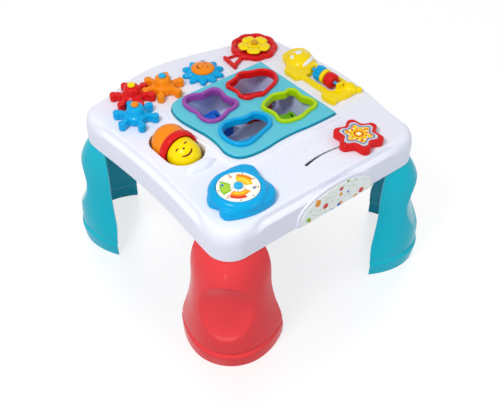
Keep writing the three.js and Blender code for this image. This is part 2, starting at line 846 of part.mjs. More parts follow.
// A value read off a table of shares, straight between its rows
function shareAt(shares, place) {
  const next = Math.max(1, shares.findIndex(([row]) => row >= place));
  const [[from, low], [to, high]] = [shares[next - 1], shares[next]];
  return low + ((high - low) * (place - from)) / (to - from);
}

function legBody() {
  const top = tableHalf - legTopInset;
  const { lerp } = THREE.MathUtils;
  return lofted(legLevels().map(({ z, reach }) => {
    const share = z / legHeight;
    const radius = lerp(legCornerRadius, cornerRadius - legTopInset, share);
    const end = lerp(wingEndFoot, wingEndTop, shareAt(wingShares, share));
    const endReach = lerp(top, reach, shareAt(wingSwellShares, share));
    return wallRing(legSection(reach, radius, endReach, end, z), z, legWall);
  }));
}

function neckSection(inset) {
  return legSection(tableHalf - inset, cornerRadius - inset, tableHalf - inset, neckEnd, legHeight);
}

function leg() {
  const roofLow = legHeight - legWall;
  const roofOutline = [...neckSection(legWall / 2 + legTopInset), point(neckEnd, neckEnd)];
  const hole = rod(screwHoleRadius + turnGap, 0, legHeight + overrun, legScrewPlace, legScrewPlace);
  const neck = lofted([
    wallRing(neckSection(neckInset), roofLow, legWall),
    wallRing(neckSection(neckInset), legHeight + neckHeight, legWall),
  ]);
  return legBody().add(slab(roofOutline, roofLow, legHeight)).add(neck).subtract(hole);
}

function screw(length, headLow) {
  const head = [[0, headLow], [screwHeadRadius, headLow], [screwHeadRadius, headLow + screwHeadHeight]];
  const shank = [[screwRadius, headLow + screwHeadHeight], [screwRadius, headLow + screwHeadHeight + length]];
  return turned([...head, ...shank, [0, headLow + screwHeadHeight + length]], smallSides);
}

// Underside cover with the battery bay, its door, the cells and the loudspeaker
const coverLow = skirtEnd + seatGap;
const coverHigh = coverLow + coverThickness;
const bayHalfX = cellLength / 2 + cellGap;
const bayHalfY = (cellCount * (2 * cellRadius + cellGap) + cellGap) / 2;

function bayBox(margin, low, high) {
  const [halfX, halfY] = [bayHalfX + margin, bayHalfY + margin];
  return box(bayX - halfX, bayX + halfX, bayY - halfY, bayY + halfY, low, high);
}

function neckRelief() {
  const outer = neckSection(neckInset - turnGap);
  const inner = neckSection(neckInset + legWall + turnGap);
  const outline = [...outer, ...inner.reverse()];
  return lofted([raised(outline, coverLow - overrun), raised(outline, coverHigh + overrun)]);
}

function undersideCover() {
  let cover = slab(tableOutline(coverInset), coverLow, coverHigh);
  cover = cover.add(bayBox(bayWall, coverLow + coverThickness / 2, coverHigh + bayWallHeight));
  cover = cover.subtract(bayBox(0, coverLow - overrun, coverHigh + bayWallHeight + overrun));
  const relief = neckRelief();
  legCorners.forEach(([sx, sy], i) => {
    cover = cover.subtract(relief.rotate([0, 0, 90 * i]));
    const [x, y] = [sx * legScrewPlace, sy * legScrewPlace];
    cover = cover.subtract(rod(screwHoleRadius, coverLow - overrun, coverHigh + overrun, x, y));
  });
  for (const p of polar(grilleHoles, () => grilleRing, speakerX, speakerY)) {
    cover = cover.subtract(rod(grilleHoleRadius, coverLow - overrun, coverHigh + overrun, p.x, p.y));
  }
  return cover;
}

function batteryDoor() {
  return bayBox(-seatGap, coverLow, coverLow + doorThickness);
}

function batteryCell(index) {
  const y = bayY + (index - (cellCount - 1) / 2) * (2 * cellRadius + cellGap);
  const cell = new THREE.CylinderGeometry(cellRadius, cellRadius, cellLength, smallSides);
  cell.rotateZ(Math.PI / 2);
  cell.translate(bayX, y, coverLow + doorThickness + seatGap + cellRadius);
  return solidOf(cell);
}

function loudspeaker() {
  const low = coverHigh + seatGap;
  const magnet = speakerRadius / 2;
  const profile = [
    [0, low + speakerRim], [magnet, low + speakerRim / 2], [speakerRadius - speakerRim, low],
    [speakerRadius, low], [speakerRadius, low + speakerRim], [magnet, low + speakerHeight - speakerRim],
    [magnet, low + speakerHeight], [0, low + speakerHeight],
  ];
  return turned(profile);
}

// Sorter bin, panel, rims and blocks
function binOutline(margin) {
  return roundedBox(binX, binY, binHalfX + margin, binHalfY + margin, binCorner + margin, binSteps);
}

const binLow = coverHigh + seatGap;

function sorterBin() {
  const tub = slab(binOutline(binWall), binLow, -seatGap);
  return tub.subtract(slab(binOutline(0), binLow + binFloor, overrun));
}

function sorterPanel() {
  const low = seatGap;
  const body = slab(panelOutline(0), low, panelHeight, panelRound);
  const hollow = slab(insetOutline(panelOutline(0), panelWall), low - overrun, panelHeight - panelWall);
  let panel = body.subtract(hollow);
  for (const hole of holes) {
    const cut = insetOutline(rimOutline(hole), rimWidth - rimSleeve - seatGap);
    panel = panel.subtract(slab(cut, low - overrun, panelHeight + overrun));
  }
  return panel;
}

function rim(hole) {
  const low = panelHeight + seatGap;
  const sleeve = [rimWidth - rimSleeve, panelHeight - rimSleeveDepth];
  const side = low + rimHeight * rimSideShare;
  const crest = rimCrestShares.map((share) => [rimWidth * share, panelHeight + rimHeight]);
  return hoop(rimOutline(hole), [
    [0, low], [sleeve[0], low], sleeve, [rimWidth, sleeve[1]], [rimWidth, side], ...crest.reverse(),
    [0, side],
  ]);
}

function block(hole) {
  const low = binLow + binFloor + seatGap;
  const outline = insetOutline(rimOutline(hole), rimWidth + blockClearance);
  const middle = holeMiddle(hole);
  const knobLow = low + blockHeight;
  const knob = turned([
    [0, knobLow - overrun], [blockKnobRadius, knobLow - overrun],
    [blockKnobRadius, knobLow + blockKnobHeight / 2],
    [blockKnobRadius * domeShare, knobLow + blockKnobHeight * domeRiseShare], [0, knobLow + blockKnobHeight],
  ], smallSides).translate([middle.x, middle.y, 0]);
  return slab(outline, low, low + blockHeight, blockRound).add(knob);
}

// What turns on a post: a bore, and a wider one above it for the head of the screw that holds it
function boredFor(solid, postHeight, top) {
  const shoulder = postHeight - seatGap;
  const bore = rod(postRadius + postBoreGap, -overrun, top + overrun);
  const headRoom = rod(screwHeadRadius + spinHeadGap, shoulder, top + overrun);
  return solid.subtract(bore).subtract(headRoom);
}

function postScrew(postHeight) {
  const top = postHeight + seatGap;
  return turned([
    [0, top - spinScrewLength], [screwRadius, top - spinScrewLength], [screwRadius, top],
    [screwHeadRadius, top], [screwHeadRadius, top + screwHeadHeight], [0, top + screwHeadHeight],
  ], smallSides);
}

function domeCap(radius, low, height, plugDepth, sides = smallSides) {
  const plug = screwHeadRadius;
  const profile = [
    [0, low - plugDepth], [plug, low - plugDepth], [plug, low], [radius, low],
    [radius, low + height / 3], [radius * domeShare, low + height * domeRiseShare], [0, low + height],
  ];
  return turned(profile, sides);
}

function gear() {
  const root = gearDistance - gearReach - gearRootGap;
  const headMiddle = gearReach - toothHeadRadius;
  const outline = [];
  for (let tooth = 0; tooth < gearTeeth; tooth += 1) {
    const angle = 360 / gearTeeth;
    const meet = Math.asin(toothNeckHalf / toothHeadRadius);
    const sweep = 180 - THREE.MathUtils.radToDeg(meet);
    const head = arc(headMiddle, 0, toothHeadRadius, -sweep, sweep, toothSteps);
    const foot = THREE.MathUtils.radToDeg(Math.asin(toothNeckHalf / root));
    const valley = arc(0, 0, root, foot, angle - foot, 1);
    outline.push(...[...head, ...valley].map((p) => p.rotateAround(point(0, 0), radians(tooth * angle))));
  }
  const teeth = slab(outline, spinLift, spinLift + toothHeight, gearRound);
  const hub = turned([
    [0, spinLift + overrun], [hubBottomRadius, spinLift + overrun], [hubBottomRadius, toothHeight + spinLift],
    [hubWaistRadius, hubWaistHeight], [hubTopRadius, hubHeight], [0, hubHeight],
  ], hubSides);
  return boredFor(teeth.add(hub), gearPostHeight, hubHeight);
}

function sunWheel() {
  const step = 180 / sunRays;
  const corners = Array.from({ length: 2 * sunRays }, (_, i) => {
    const reach = i % 2 === 0 ? sunReach : sunValley;
    return point(reach, 0).rotateAround(point(0, 0), radians(sunTurn + i * step));
  });
  const seat = corners.map((p) => p.clone().setLength(sunFaceRadius + sunSeatMargin));
  const wheel = lofted([
    raised(corners, spinLift), raised(corners, spinLift + sunTipHeight), raised(seat, sunHeight),
  ]);
  return boredFor(wheel, sunPostHeight, sunHeight);
}

// Roller, drawn about its own axle along Z with the band's front at zero
function rollerPiece(profile) {
  const bored = turned(profile).subtract(rod(rollerAxleRadius + turnGap / 2, -rollerSpan, rollerSpan));
  return bored.rotate([-90, 0, 0]).translate([rollerX, bandFront, -rollerDepth]);
}

const rollerSpan = 2 * wellHalfY;
const rollerAxleLow = rollerY - wellHalfY - wellWall + seatGap;
const rollerAxleHigh = rollerY + wellHalfY + wellWall - seatGap;

function rollerHood() {
  const start = bandLength + seatGap;
  const straight = hoodLength * hoodStraightShare;
  const dome = arc(0, 0, 1, 0, 90, domeSteps).map((p) => (
    [hoodRadius * p.x, start + straight + (hoodLength - straight) * p.y]
  ));
  return rollerPiece([[0, start], [hoodRadius, start], ...dome.slice(0, -1), [0, start + hoodLength]]);
}

function rollerBand() {
  const side = bandRadius - hoodRadius;
  return rollerPiece([
    [0, 0], [bandRadius - side, 0], [bandRadius, side], [bandRadius, bandLength - side],
    [bandRadius - side, bandLength], [0, bandLength],
  ]);
}

function rollerFace() {
  const start = -seatGap;
  const dome = arc(0, 0, faceRadius, 0, 90, domeSteps).map((p) => [p.x, start - faceStart - p.y]);
  const tip = [0, start - faceStart - faceRadius];
  return rollerPiece([[0, start], [faceRadius, start], ...dome.slice(0, -1), tip]);
}

// A flat bar from one point of the plan to another
function flatBar(from, to, half, low, high) {
  const along = to.clone().sub(from);
  const bar = box(-half, along.length() + half, -half, half, low, high);
  return bar.rotate([0, 0, THREE.MathUtils.radToDeg(along.angle())]).translate([from.x, from.y, 0]);
}

// Tree frame: scalloped crown, and a trunk of three bars round an open triangle, in one moulding
function treeFrame() {
  const scallop = (angle) => (
    crownRadius - crownScallop + crownScallop * Math.abs(Math.cos(angle * crownScallops / 2))
  );
  const outline = polar(scallopSteps * crownScallops, scallop, crownX, crownY);
  const crown = slab(outline, seatGap, crownHeight, crownRound);
  const place = (aside, behind) => point(crownX - aside, crownY + behind);
  const footBack = place(trunkReach, footBarBack);
  const footFront = place(trunkReach, footBarFront);
  const bars = [
    [footBack, footFront, footBarHalf],
    [footFront, place(trunkFork, forkFront), frontBarHalf],
    [footBack, place(trunkFork, forkBack), backBarHalf],
  ];
  let frame = crown;
  for (const [from, to, half] of bars) {
    frame = frame.add(flatBar(from, to, half, seatGap, crownHeight - crownRound));
  }
  for (const p of crownPegs) frame = frame.add(rod(pegRadius, -pegDepth, crownHeight / 2, p.x, p.y));
  return frame.subtract(rod(postRadius + turnGap, -overrun, crownHeight + overrun, flowerX, flowerY));
}

const flowerLow = crownHeight + seatGap + turnGap;
const flowerTop = flowerLow + flowerHeight;
const flowerPostHeight = flowerTop - screwHeadHeight - seatGap;

function flowerSpinner() {
  const petal = (angle) => {
    const wave = (1 + Math.cos(flowerPetals * angle)) / 2;
    return flowerReach * (flowerValleyShare + (1 - flowerValleyShare) * Math.sqrt(wave));
  };
  const outline = polar(petalSteps * flowerPetals, petal);
  const body = slab(outline, flowerLow, flowerTop, flowerHeight / 3, flowerHeight / 6);
  return boredFor(body, flowerPostHeight, flowerTop);
}

// Half an egg that stands on its flat side
function eggDome(x, y, halfX, halfY, low, high) {
  const curve = arc(0, 0, 1, 0, 90, domeSteps).slice(0, -1);
  const dome = new THREE.LatheGeometry([point(0, 0), ...curve, point(0, 1)], roundSides);
  dome.rotateX(Math.PI / 2);
  dome.scale(halfX, halfY, high - low);
  dome.translate(x, y, low);
  return solidOf(dome);
}

// Animal frame: a plate with a domed head and rump, and a window across which the bead axle runs
const windowX = animalX + windowOffsetX;
const windowY = animalY + windowOffsetY;
const lugFaces = [windowY - windowHalfY, windowY + windowHalfY];

function animalFrame() {
  const outline = counterClockwise(fromShares(animalShares, animalX, animalY, animalHalfX, animalHalfY));
  const low = animalHeight / 2;
  let frame = slab(outline, seatGap, animalHeight, animalRound);
  const [headX, headY] = [animalX + headAside, animalY + headBehind];
  const [rumpX, rumpY] = [animalX + rumpAside, animalY + rumpBehind];
  frame = frame.add(eggDome(headX, headY, headHalfX, headHalfY, seatGap, headRise));
  frame = frame.add(eggDome(rumpX, rumpY, rumpHalfX, rumpHalfY, seatGap, rumpRise));
  for (const p of animalPegs) frame = frame.add(rod(pegRadius, -pegDepth, animalHeight / 2, p.x, p.y));
  const [front, back] = lugFaces;
  const lugs = [[front - lugLength, front], [back, back + lugLength]];
  for (const [from, to] of lugs) {
    frame = frame.add(box(windowX - lugHalf, windowX + lugHalf, from, to, low, lugRise));
  }
  const window = roundedBox(windowX, windowY, windowHalfX, windowHalfY, windowCorner, 1);
  frame = frame.subtract(slab(window, -overrun, lugRise + overrun));
  const reach = lugLength + overrun;
  return frame.subtract(alongY(axleRadius + seatGap, front - reach, back + reach, windowX, axleRise));
}

function beadAxle() {
  const [front, back] = lugFaces;
  return alongY(axleRadius, front - lugLength, back + lugLength, windowX, axleRise);
}

function beadShape({ half, teeth, tooth }, middle) {
  const ridge = (angle) => tooth * Math.sign(Math.cos(teeth * angle + toothPhase));
  const outline = polar(beadSteps, (angle) => beadRadius - tooth + ridge(angle));
  const drum = slab(outline, middle - half, middle + half, half / 2, half / 2);
  const reach = half + overrun;
  const bored = drum.subtract(rod(axleRadius + postBoreGap, middle - reach, middle + reach));
  return bored.rotate([-90, 0, 0]).translate([windowX, 0, axleRise]);
}

// Star knob
function starOutline(share) {
  const step = 360 / starPoints;
  const corners = Array.from({ length: starPoints }, (_, i) => {
    const middle = starTurn + i * step;
    const low = middle + step / 2;
    const tip = arc(0, 0, starReach * share, middle - starTipHalf, middle + starTipHalf, 1);
    const valley = arc(0, 0, starValley * share, low - starValleyHalf, low + starValleyHalf, 1);
    return [...tip, ...valley];
  });
  return smoothLoop(corners.flat(), starSteps * starPoints);
}

function starKnob() {
  const knob = slab(starOutline(1), starLift, starHeight, starRound, starRound / 3);
  const recessShare = plateShare + seatGap / starReach;
  const recess = slab(starOutline(recessShare), starHeight - plateRecess, starHeight + overrun);
  const neck = box(-starNeckHalf, starNeckHalf, -starNeckLength / 2, starNeckLength / 2,
    shellUnder - turnGap, starLift + overrun);
  const { x, y } = neckPlace.clone().sub(starPlace);
  return knob.subtract(recess).add(neck.rotate([0, 0, starBearing]).translate([x, y, 0]));
}

function starPicture() {
  const low = starHeight - plateRecess + seatGap;
  return slab(starOutline(plateShare), low, low + plateThickness);
}

function sliderShoe() {
  const high = shellUnder - turnGap - seatGap;
  return rod(shoeRadius, high - shoeThickness, high, 0, 0, roundSides);
}

// Music box: housing, press disc with its stem, spring, board
function musicOutline() {
  return smoothLoop(fromShares(musicShares, musicX, musicY, musicHalfX, musicHalfY), musicSteps);
}

const deckHigh = musicHeight - discRecessDepth;
const pocketFloor = deckHigh - pocketDepth;
const discLow = deckHigh + discTravel + turnGap;

function musicHousing() {
  const outline = musicOutline();
  const shaped = (wall, low) => draftShares.map(([height, inset]) => (
    raised(insetOutline(outline, wall + inset * musicDraft), low + height * (musicHeight - wall - low))
  ));
  let housing = lofted(shaped(0, seatGap)).subtract(lofted(shaped(musicWall, -overrun)));
  const round = (radius, low, high) => rod(radius, low, high, discX, discY, roundSides);
  housing = housing.add(round(discRadius + turnGap + musicWall, deckHigh - musicWall, musicHeight - overrun));
  housing = housing.add(round(pocketRadius + musicWall, pocketFloor - musicWall, deckHigh - overrun));
  housing = housing.subtract(round(discRadius + turnGap, deckHigh, musicHeight + overrun));
  housing = housing.subtract(round(pocketRadius, pocketFloor, deckHigh + overrun));
  housing = housing.subtract(rod(stemRadius + turnGap, 0, deckHigh, discX, discY));
  for (const p of musicPegs) {
    housing = housing.add(rod(pegRadius, -pegDepth, musicHeight - musicWall, p.x, p.y));
  }
  return housing;
}

function musicDisc() {
  const plate = rod(discRadius, discLow, discLow + discThickness, 0, 0, roundSides);
  return plate.add(rod(stemRadius, -stemDepth, discLow + overrun));
}

function discHub() {
  const low = discLow + discThickness + seatGap;
  return turned([
    [0, low], [hubButtonRadius, low], [hubButtonRadius, low + hubButtonHeight / 2],
    [hubButtonRadius * domeShare, low + hubButtonHeight * domeRiseShare], [0, low + hubButtonHeight],
  ]);
}

function returnSpring() {
  const low = pocketFloor + seatGap;
  const high = discLow - seatGap;
  const inner = springRadius - springWire;
  const sleeve = [[inner, low], [springRadius, low], [springRadius, high], [inner, high], [inner, low]];
  return turned(sleeve, smallSides);
}

function circuitBoard() {
  const high = -boardDepth;
  const flat = box(-boardHalfX, boardHalfX, -boardHalfY, boardHalfY, high - boardThickness, high);
  const board = flat.translate([boardX, boardY, 0]);
  const switchTop = -stemDepth - discTravel - seatGap;
  return board.add(rod(stemRadius, high - boardThickness / 2, switchTop, discX, discY));
}

// Assembly
const model = new THREE.Group();
const deck = new THREE.Group();
deck.position.z = tableHeight;
model.add(deck);

function add(parent, name, solid, look, x = 0, y = 0, turn = 0) {
  const { vertProperties, triVerts } = solid.getMesh();
  const geometry = new THREE.BufferGeometry();
  geometry.setAttribute("position", new THREE.BufferAttribute(vertProperties, 3));
  geometry.setIndex(new THREE.BufferAttribute(triVerts, 1));
  geometry.computeVertexNormals();
  const [color, roughness, metalness] = looks[look];
  const mesh = new THREE.Mesh(geometry, new THREE.MeshStandardMaterial({ color, roughness, metalness }));
  mesh.name = name;
  mesh.position.set(x, y, 0);
  mesh.rotation.z = radians(turn);
  parent.add(mesh);
}

add(deck, "table_top", tableTop(), "white");
add(deck, "underside_cover", undersideCover(), "white");
add(deck, "battery_door", batteryDoor(), "white");
for (let i = 0; i < cellCount; i += 1) add(deck, `battery_cell_${i + 1}`, batteryCell(i), "steel");
add(deck, "loudspeaker", loudspeaker(), "black", speakerX, speakerY);

const legNames = [
  ["back_right", "coral"], ["back_left", "teal"], ["front_left", "coral"], ["front_right", "teal"],
];
const legScrew = screw(legScrewLength, legHeight - legWall - seatGap - screwHeadHeight);
legNames.forEach(([name, look], i) => {
  const [sx, sy] = legCorners[i];
  add(model, `leg_${name}`, leg(), look, 0, 0, 90 * i);
  add(model, `leg_screw_${name}`, legScrew, "steel", sx * legScrewPlace, sy * legScrewPlace);
});

add(deck, "sorter_bin", sorterBin(), "grey");
add(deck, "sorter_panel", sorterPanel(), "panel");
for (const hole of holes) {
  add(deck, `rim_${hole.name}`, rim(hole), hole.rim);
  add(deck, `block_${hole.name}`, block(hole), hole.block);
}

for (const [name, place] of Object.entries(gearPlaces)) {
  add(deck, `${name}_gear`, gear(), name, place.x, place.y, place.turn);
  add(deck, `${name}_gear_screw`, postScrew(gearPostHeight), "steel", place.x, place.y);
  const cap = domeCap(gearCapRadius, hubHeight + seatGap, gearCapHeight, gearCapHeight);
  add(deck, `${name}_gear_cap`, cap, place.cap, place.x, place.y);
}

add(deck, "sun_wheel", sunWheel(), "blue", sunX, sunY);
add(deck, "sun_screw", postScrew(sunPostHeight), "steel", sunX, sunY);
const sunFace = domeCap(sunFaceRadius, sunHeight + seatGap, sunFaceHeight, 0, roundSides);
add(deck, "sun_face", sunFace, "orange", sunX, sunY);

add(deck, "roller_hood", rollerHood(), "orange");
add(deck, "roller_band", rollerBand(), "red");
add(deck, "roller_face", rollerFace(), "yellow");
const rollerAxle = alongY(rollerAxleRadius, rollerAxleLow, rollerAxleHigh, rollerX, -rollerDepth);
add(deck, "roller_axle", rollerAxle, "steel");

add(deck, "tree_frame", treeFrame(), "red");
add(deck, "flower_spinner", flowerSpinner(), "yellow", flowerX, flowerY);
add(deck, "flower_screw", postScrew(flowerPostHeight), "steel", flowerX, flowerY);
const flowerCap = domeCap(flowerCapRadius, flowerTop + seatGap, flowerCapHeight, 0);
add(deck, "flower_cap", flowerCap, "amber", flowerX, flowerY);

add(deck, "animal_frame", animalFrame(), "yellow");
add(deck, "bead_axle", beadAxle(), "sky");
let beadEnd = lugFaces[0] + beadStart;
for (const bead of beads) {
  add(deck, bead.name, beadShape(bead, beadEnd + bead.half), bead.look);
  beadEnd += 2 * bead.half + beadGap;
}

add(deck, "star_knob", starKnob(), "red", starPlace.x, starPlace.y);
add(deck, "star_picture", starPicture(), "picture", starPlace.x, starPlace.y);
add(deck, "slider_shoe", sliderShoe(), "grey", neckPlace.x, neckPlace.y);

add(deck, "music_housing", musicHousing(), "blue");
add(deck, "music_disc", musicDisc(), "picture", discX, discY);
add(deck, "disc_hub", discHub(), "sky", discX, discY);
add(deck, "return_spring", returnSpring(), "steel", discX, discY);
add(deck, "circuit_board", circuitBoard(), "board");
add(deck, "nameplate", archPlate(0, padDepth + seatGap, plateDepthOnSkirt), "picture");

export default model;
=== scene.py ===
# Looks of the musical activity table: each visible piece as a smooth glossy moulding, set around the
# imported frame. Outlines and heights are in millimetres, and MM turns them into metres.

import math

import bmesh
import bpy
from mathutils import Matrix, Vector, geometry


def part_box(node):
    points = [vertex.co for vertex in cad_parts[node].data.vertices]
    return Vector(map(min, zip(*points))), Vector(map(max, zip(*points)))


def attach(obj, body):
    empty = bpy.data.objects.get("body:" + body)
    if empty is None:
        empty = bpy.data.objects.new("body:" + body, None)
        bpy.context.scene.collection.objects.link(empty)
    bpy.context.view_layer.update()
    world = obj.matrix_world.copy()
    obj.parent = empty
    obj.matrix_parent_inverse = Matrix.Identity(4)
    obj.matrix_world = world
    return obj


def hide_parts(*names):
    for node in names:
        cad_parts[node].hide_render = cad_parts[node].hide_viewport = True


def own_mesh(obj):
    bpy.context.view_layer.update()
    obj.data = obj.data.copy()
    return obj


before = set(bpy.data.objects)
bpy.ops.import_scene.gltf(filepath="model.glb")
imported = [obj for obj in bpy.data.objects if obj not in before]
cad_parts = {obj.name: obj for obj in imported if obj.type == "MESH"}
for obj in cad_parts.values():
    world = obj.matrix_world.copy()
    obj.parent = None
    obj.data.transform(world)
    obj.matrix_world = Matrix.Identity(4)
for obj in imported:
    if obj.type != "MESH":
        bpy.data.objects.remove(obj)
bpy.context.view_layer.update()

MM = 0.001
TAU = 2 * math.pi
QUARTER = math.pi / 2
TINY = 1e-6

# Table
TABLE_HALF = 200
TABLE_HEIGHT = 256
SKIRT_DEPTH = 53
WALL = 3
CORNER_RADIUS = 38
BOWS = (22, 31, -8, 0)  # right, back, left, front
LEANS = (0, 0.7, 0, 0)  # how much more each side swells toward its far end
BOW_POWER = 1.5
CORNER_STEPS = 14
SIDE_STEPS = 48

# Camera, fitted to the photograph
CAMERA_PLACE = (-659.9, -827.1, 1045.4)
CAMERA_TARGET = (-36.8, -53.8, 124.0)
CAMERA_LENS = 58.46
CAMERA_SENSOR = 36
CAMERA_REACH = 100  # metres


def add_object(name, data):
    made = bpy.data.objects.new(name, data)
    bpy.context.scene.collection.objects.link(made)
    return made


def aim(made, place, target):
    """Puts a lamp or camera at a place and turns it toward a target."""
    made.location = Vector(place) * MM
    made.rotation_euler = (Vector(target) * MM - made.location).to_track_quat("-Z", "Y").to_euler()


def camera():
    data = bpy.data.cameras.new("camera")
    data.lens = CAMERA_LENS
    data.sensor_width = CAMERA_SENSOR
    data.clip_end = CAMERA_REACH
    made = add_object("camera", data)
    aim(made, CAMERA_PLACE, CAMERA_TARGET)
    bpy.context.scene.camera = made


camera()


# Outlines, as lists of 2D points
def at(x, y):
    return Vector((x, y))


def arc(x, y, radius, start, end, steps):
    found = []
    for i in range(steps + 1):
        angle = math.radians(start + (end - start) * i / steps)
        found.append(at(x + radius * math.cos(angle), y + radius * math.sin(angle)))
    return found


def polar(count, radius_at, x=0, y=0):
    found = []
    for i in range(count):
        angle = TAU * i / count
        radius = radius_at(angle)
        found.append(at(x + radius * math.cos(angle), y + radius * math.sin(angle)))
    return found


def circle(radius, x=0, y=0, count=64):
    return polar(count, lambda angle: radius, x, y)


def counter_clockwise(outline):
    pairs = zip(outline, outline[1:] + outline[:1])
    return outline[::-1] if sum(a.x * b.y - b.x * a.y for a, b in pairs) < 0 else outline


def inset(outline, depth):
    count = len(outline)
    found = []
    for i, p in enumerate(outline):
        before, after = outline[i - 1], outline[(i + 1) % count]
        first = at(before.y - p.y, p.x - before.x).normalized()
        second = at(p.y - after.y, after.x - p.x).normalized()
        middle = (first + second).normalized()
        found.append(p + middle * (depth / max(middle.dot(first), math.sqrt(0.5))))
    return found


def turned_by(outline, degrees, x=0, y=0):
    turn = Matrix.Rotation(math.radians(degrees), 2)
    return [turn @ p + at(x, y) for p in outline]


def from_shares(shares, x, y, half_x, half_y):
    return [at(x + a * half_x, y + b * half_y) for a, b in shares]


def rounded_box(x, y, half_x, half_y, radius, steps):
    found = []
    for sx, sy, start in ((1, 1, 0), (-1, 1, 90), (-1, -1, 180), (1, -1, 270)):
        middle = at(x + sx * (half_x - radius), y + sy * (half_y - radius))
        found += arc(middle.x, middle.y, radius, start, start + 90, steps)
    return found


def neighbours(points, i, closed):
    """The four points around one span of a line."""
    around = range(i - 1, i + 3)
    if closed:
        return [points[k % len(points)] for k in around]
    return [points[min(max(k, 0), len(points) - 1)] for k in around]


def smooth(points, parts, closed=True, power=0.5):
    """A spline through all the points, with each span cut into equal parts."""
    found = []
    spans = len(points) if closed else len(points) - 1
    for i in range(spans):
        a, b, c, d = neighbours(points, i, closed)
        before, along, after = (max((q - p).length, TINY) ** power for p, q in ((a, b), (b, c), (c, d)))
        leave = ((b - a) / before - (c - a) / (before + along) + (c - b) / along) * along
        reach = ((c - b) / along - (d - b) / (along + after) + (d - c) / after) * along
        if not closed and i == 0:
            leave = (c - b) / 2
        if not closed and i == spans - 1:
            reach = (c - b) / 2
        bend = 2 * (b - c) + leave + reach
        for k in range(parts):
            t = k / parts
            found.append(b + t * leave + t * t * (3 * (c - b) - 2 * leave - reach) + t * t * t * bend)
    if not closed:
        found.append(points[-1])
    return found


def even(points, count):
    """Equally spaced points along a closed line of points."""
    closed = points + points[:1]
    marks = [0]
    for a, b in zip(closed, closed[1:]):
        marks.append(marks[-1] + (b - a).length)
    found = []
    k = 0
    for i in range(count):
        want = marks[-1] * i / count
        while marks[k + 1] < want:
            k += 1
        share = (want - marks[k]) / max(marks[k + 1] - marks[k], TINY)
        found.append(closed[k].lerp(closed[k + 1], share))
    return found


def soften(points, radius, steps=5):
    """Rounds the corners of an open line of points. The radius is one number, or one for each point."""
    radii = radius if isinstance(radius, list) else [radius] * len(points)
    line = [Vector(p) for p in points]
    found = [line[0]]
    for before, p, after, reach in zip(line, line[1:], line[2:], radii[1:]):
        if reach == 0:
            found.append(p)
            continue
        back, on = before - p, after - p
        a = p + back.normalized() * min(reach, back.length / 2)
        b = p + on.normalized() * min(reach, on.length / 2)
        for k in range(steps + 1):
            t = k / steps
            found.append(a * (1 - t) ** 2 + p * (2 * t * (1 - t)) + b * t * t)
    return found + [line[-1]]


def ease(t):
    t = min(max(t, 0), 1)
    return t * t * (3 - 2 * t)


def inside(p, loop):
    hit = False
    for a, b in zip(loop, loop[1:] + loop[:1]):
        if (a.y > p.y) != (b.y > p.y) and p.x < (b.x - a.x) * (p.y - a.y) / (b.y - a.y) + a.x:
            hit = not hit
    return hit


# Meshes
MERGE_DISTANCE = 2e-6  # metres
AXIS_RADIUS = 1e-4  # a turned body's points on its axis stand this far off it, and then merge
FLAT_PRECISION = 1e-5


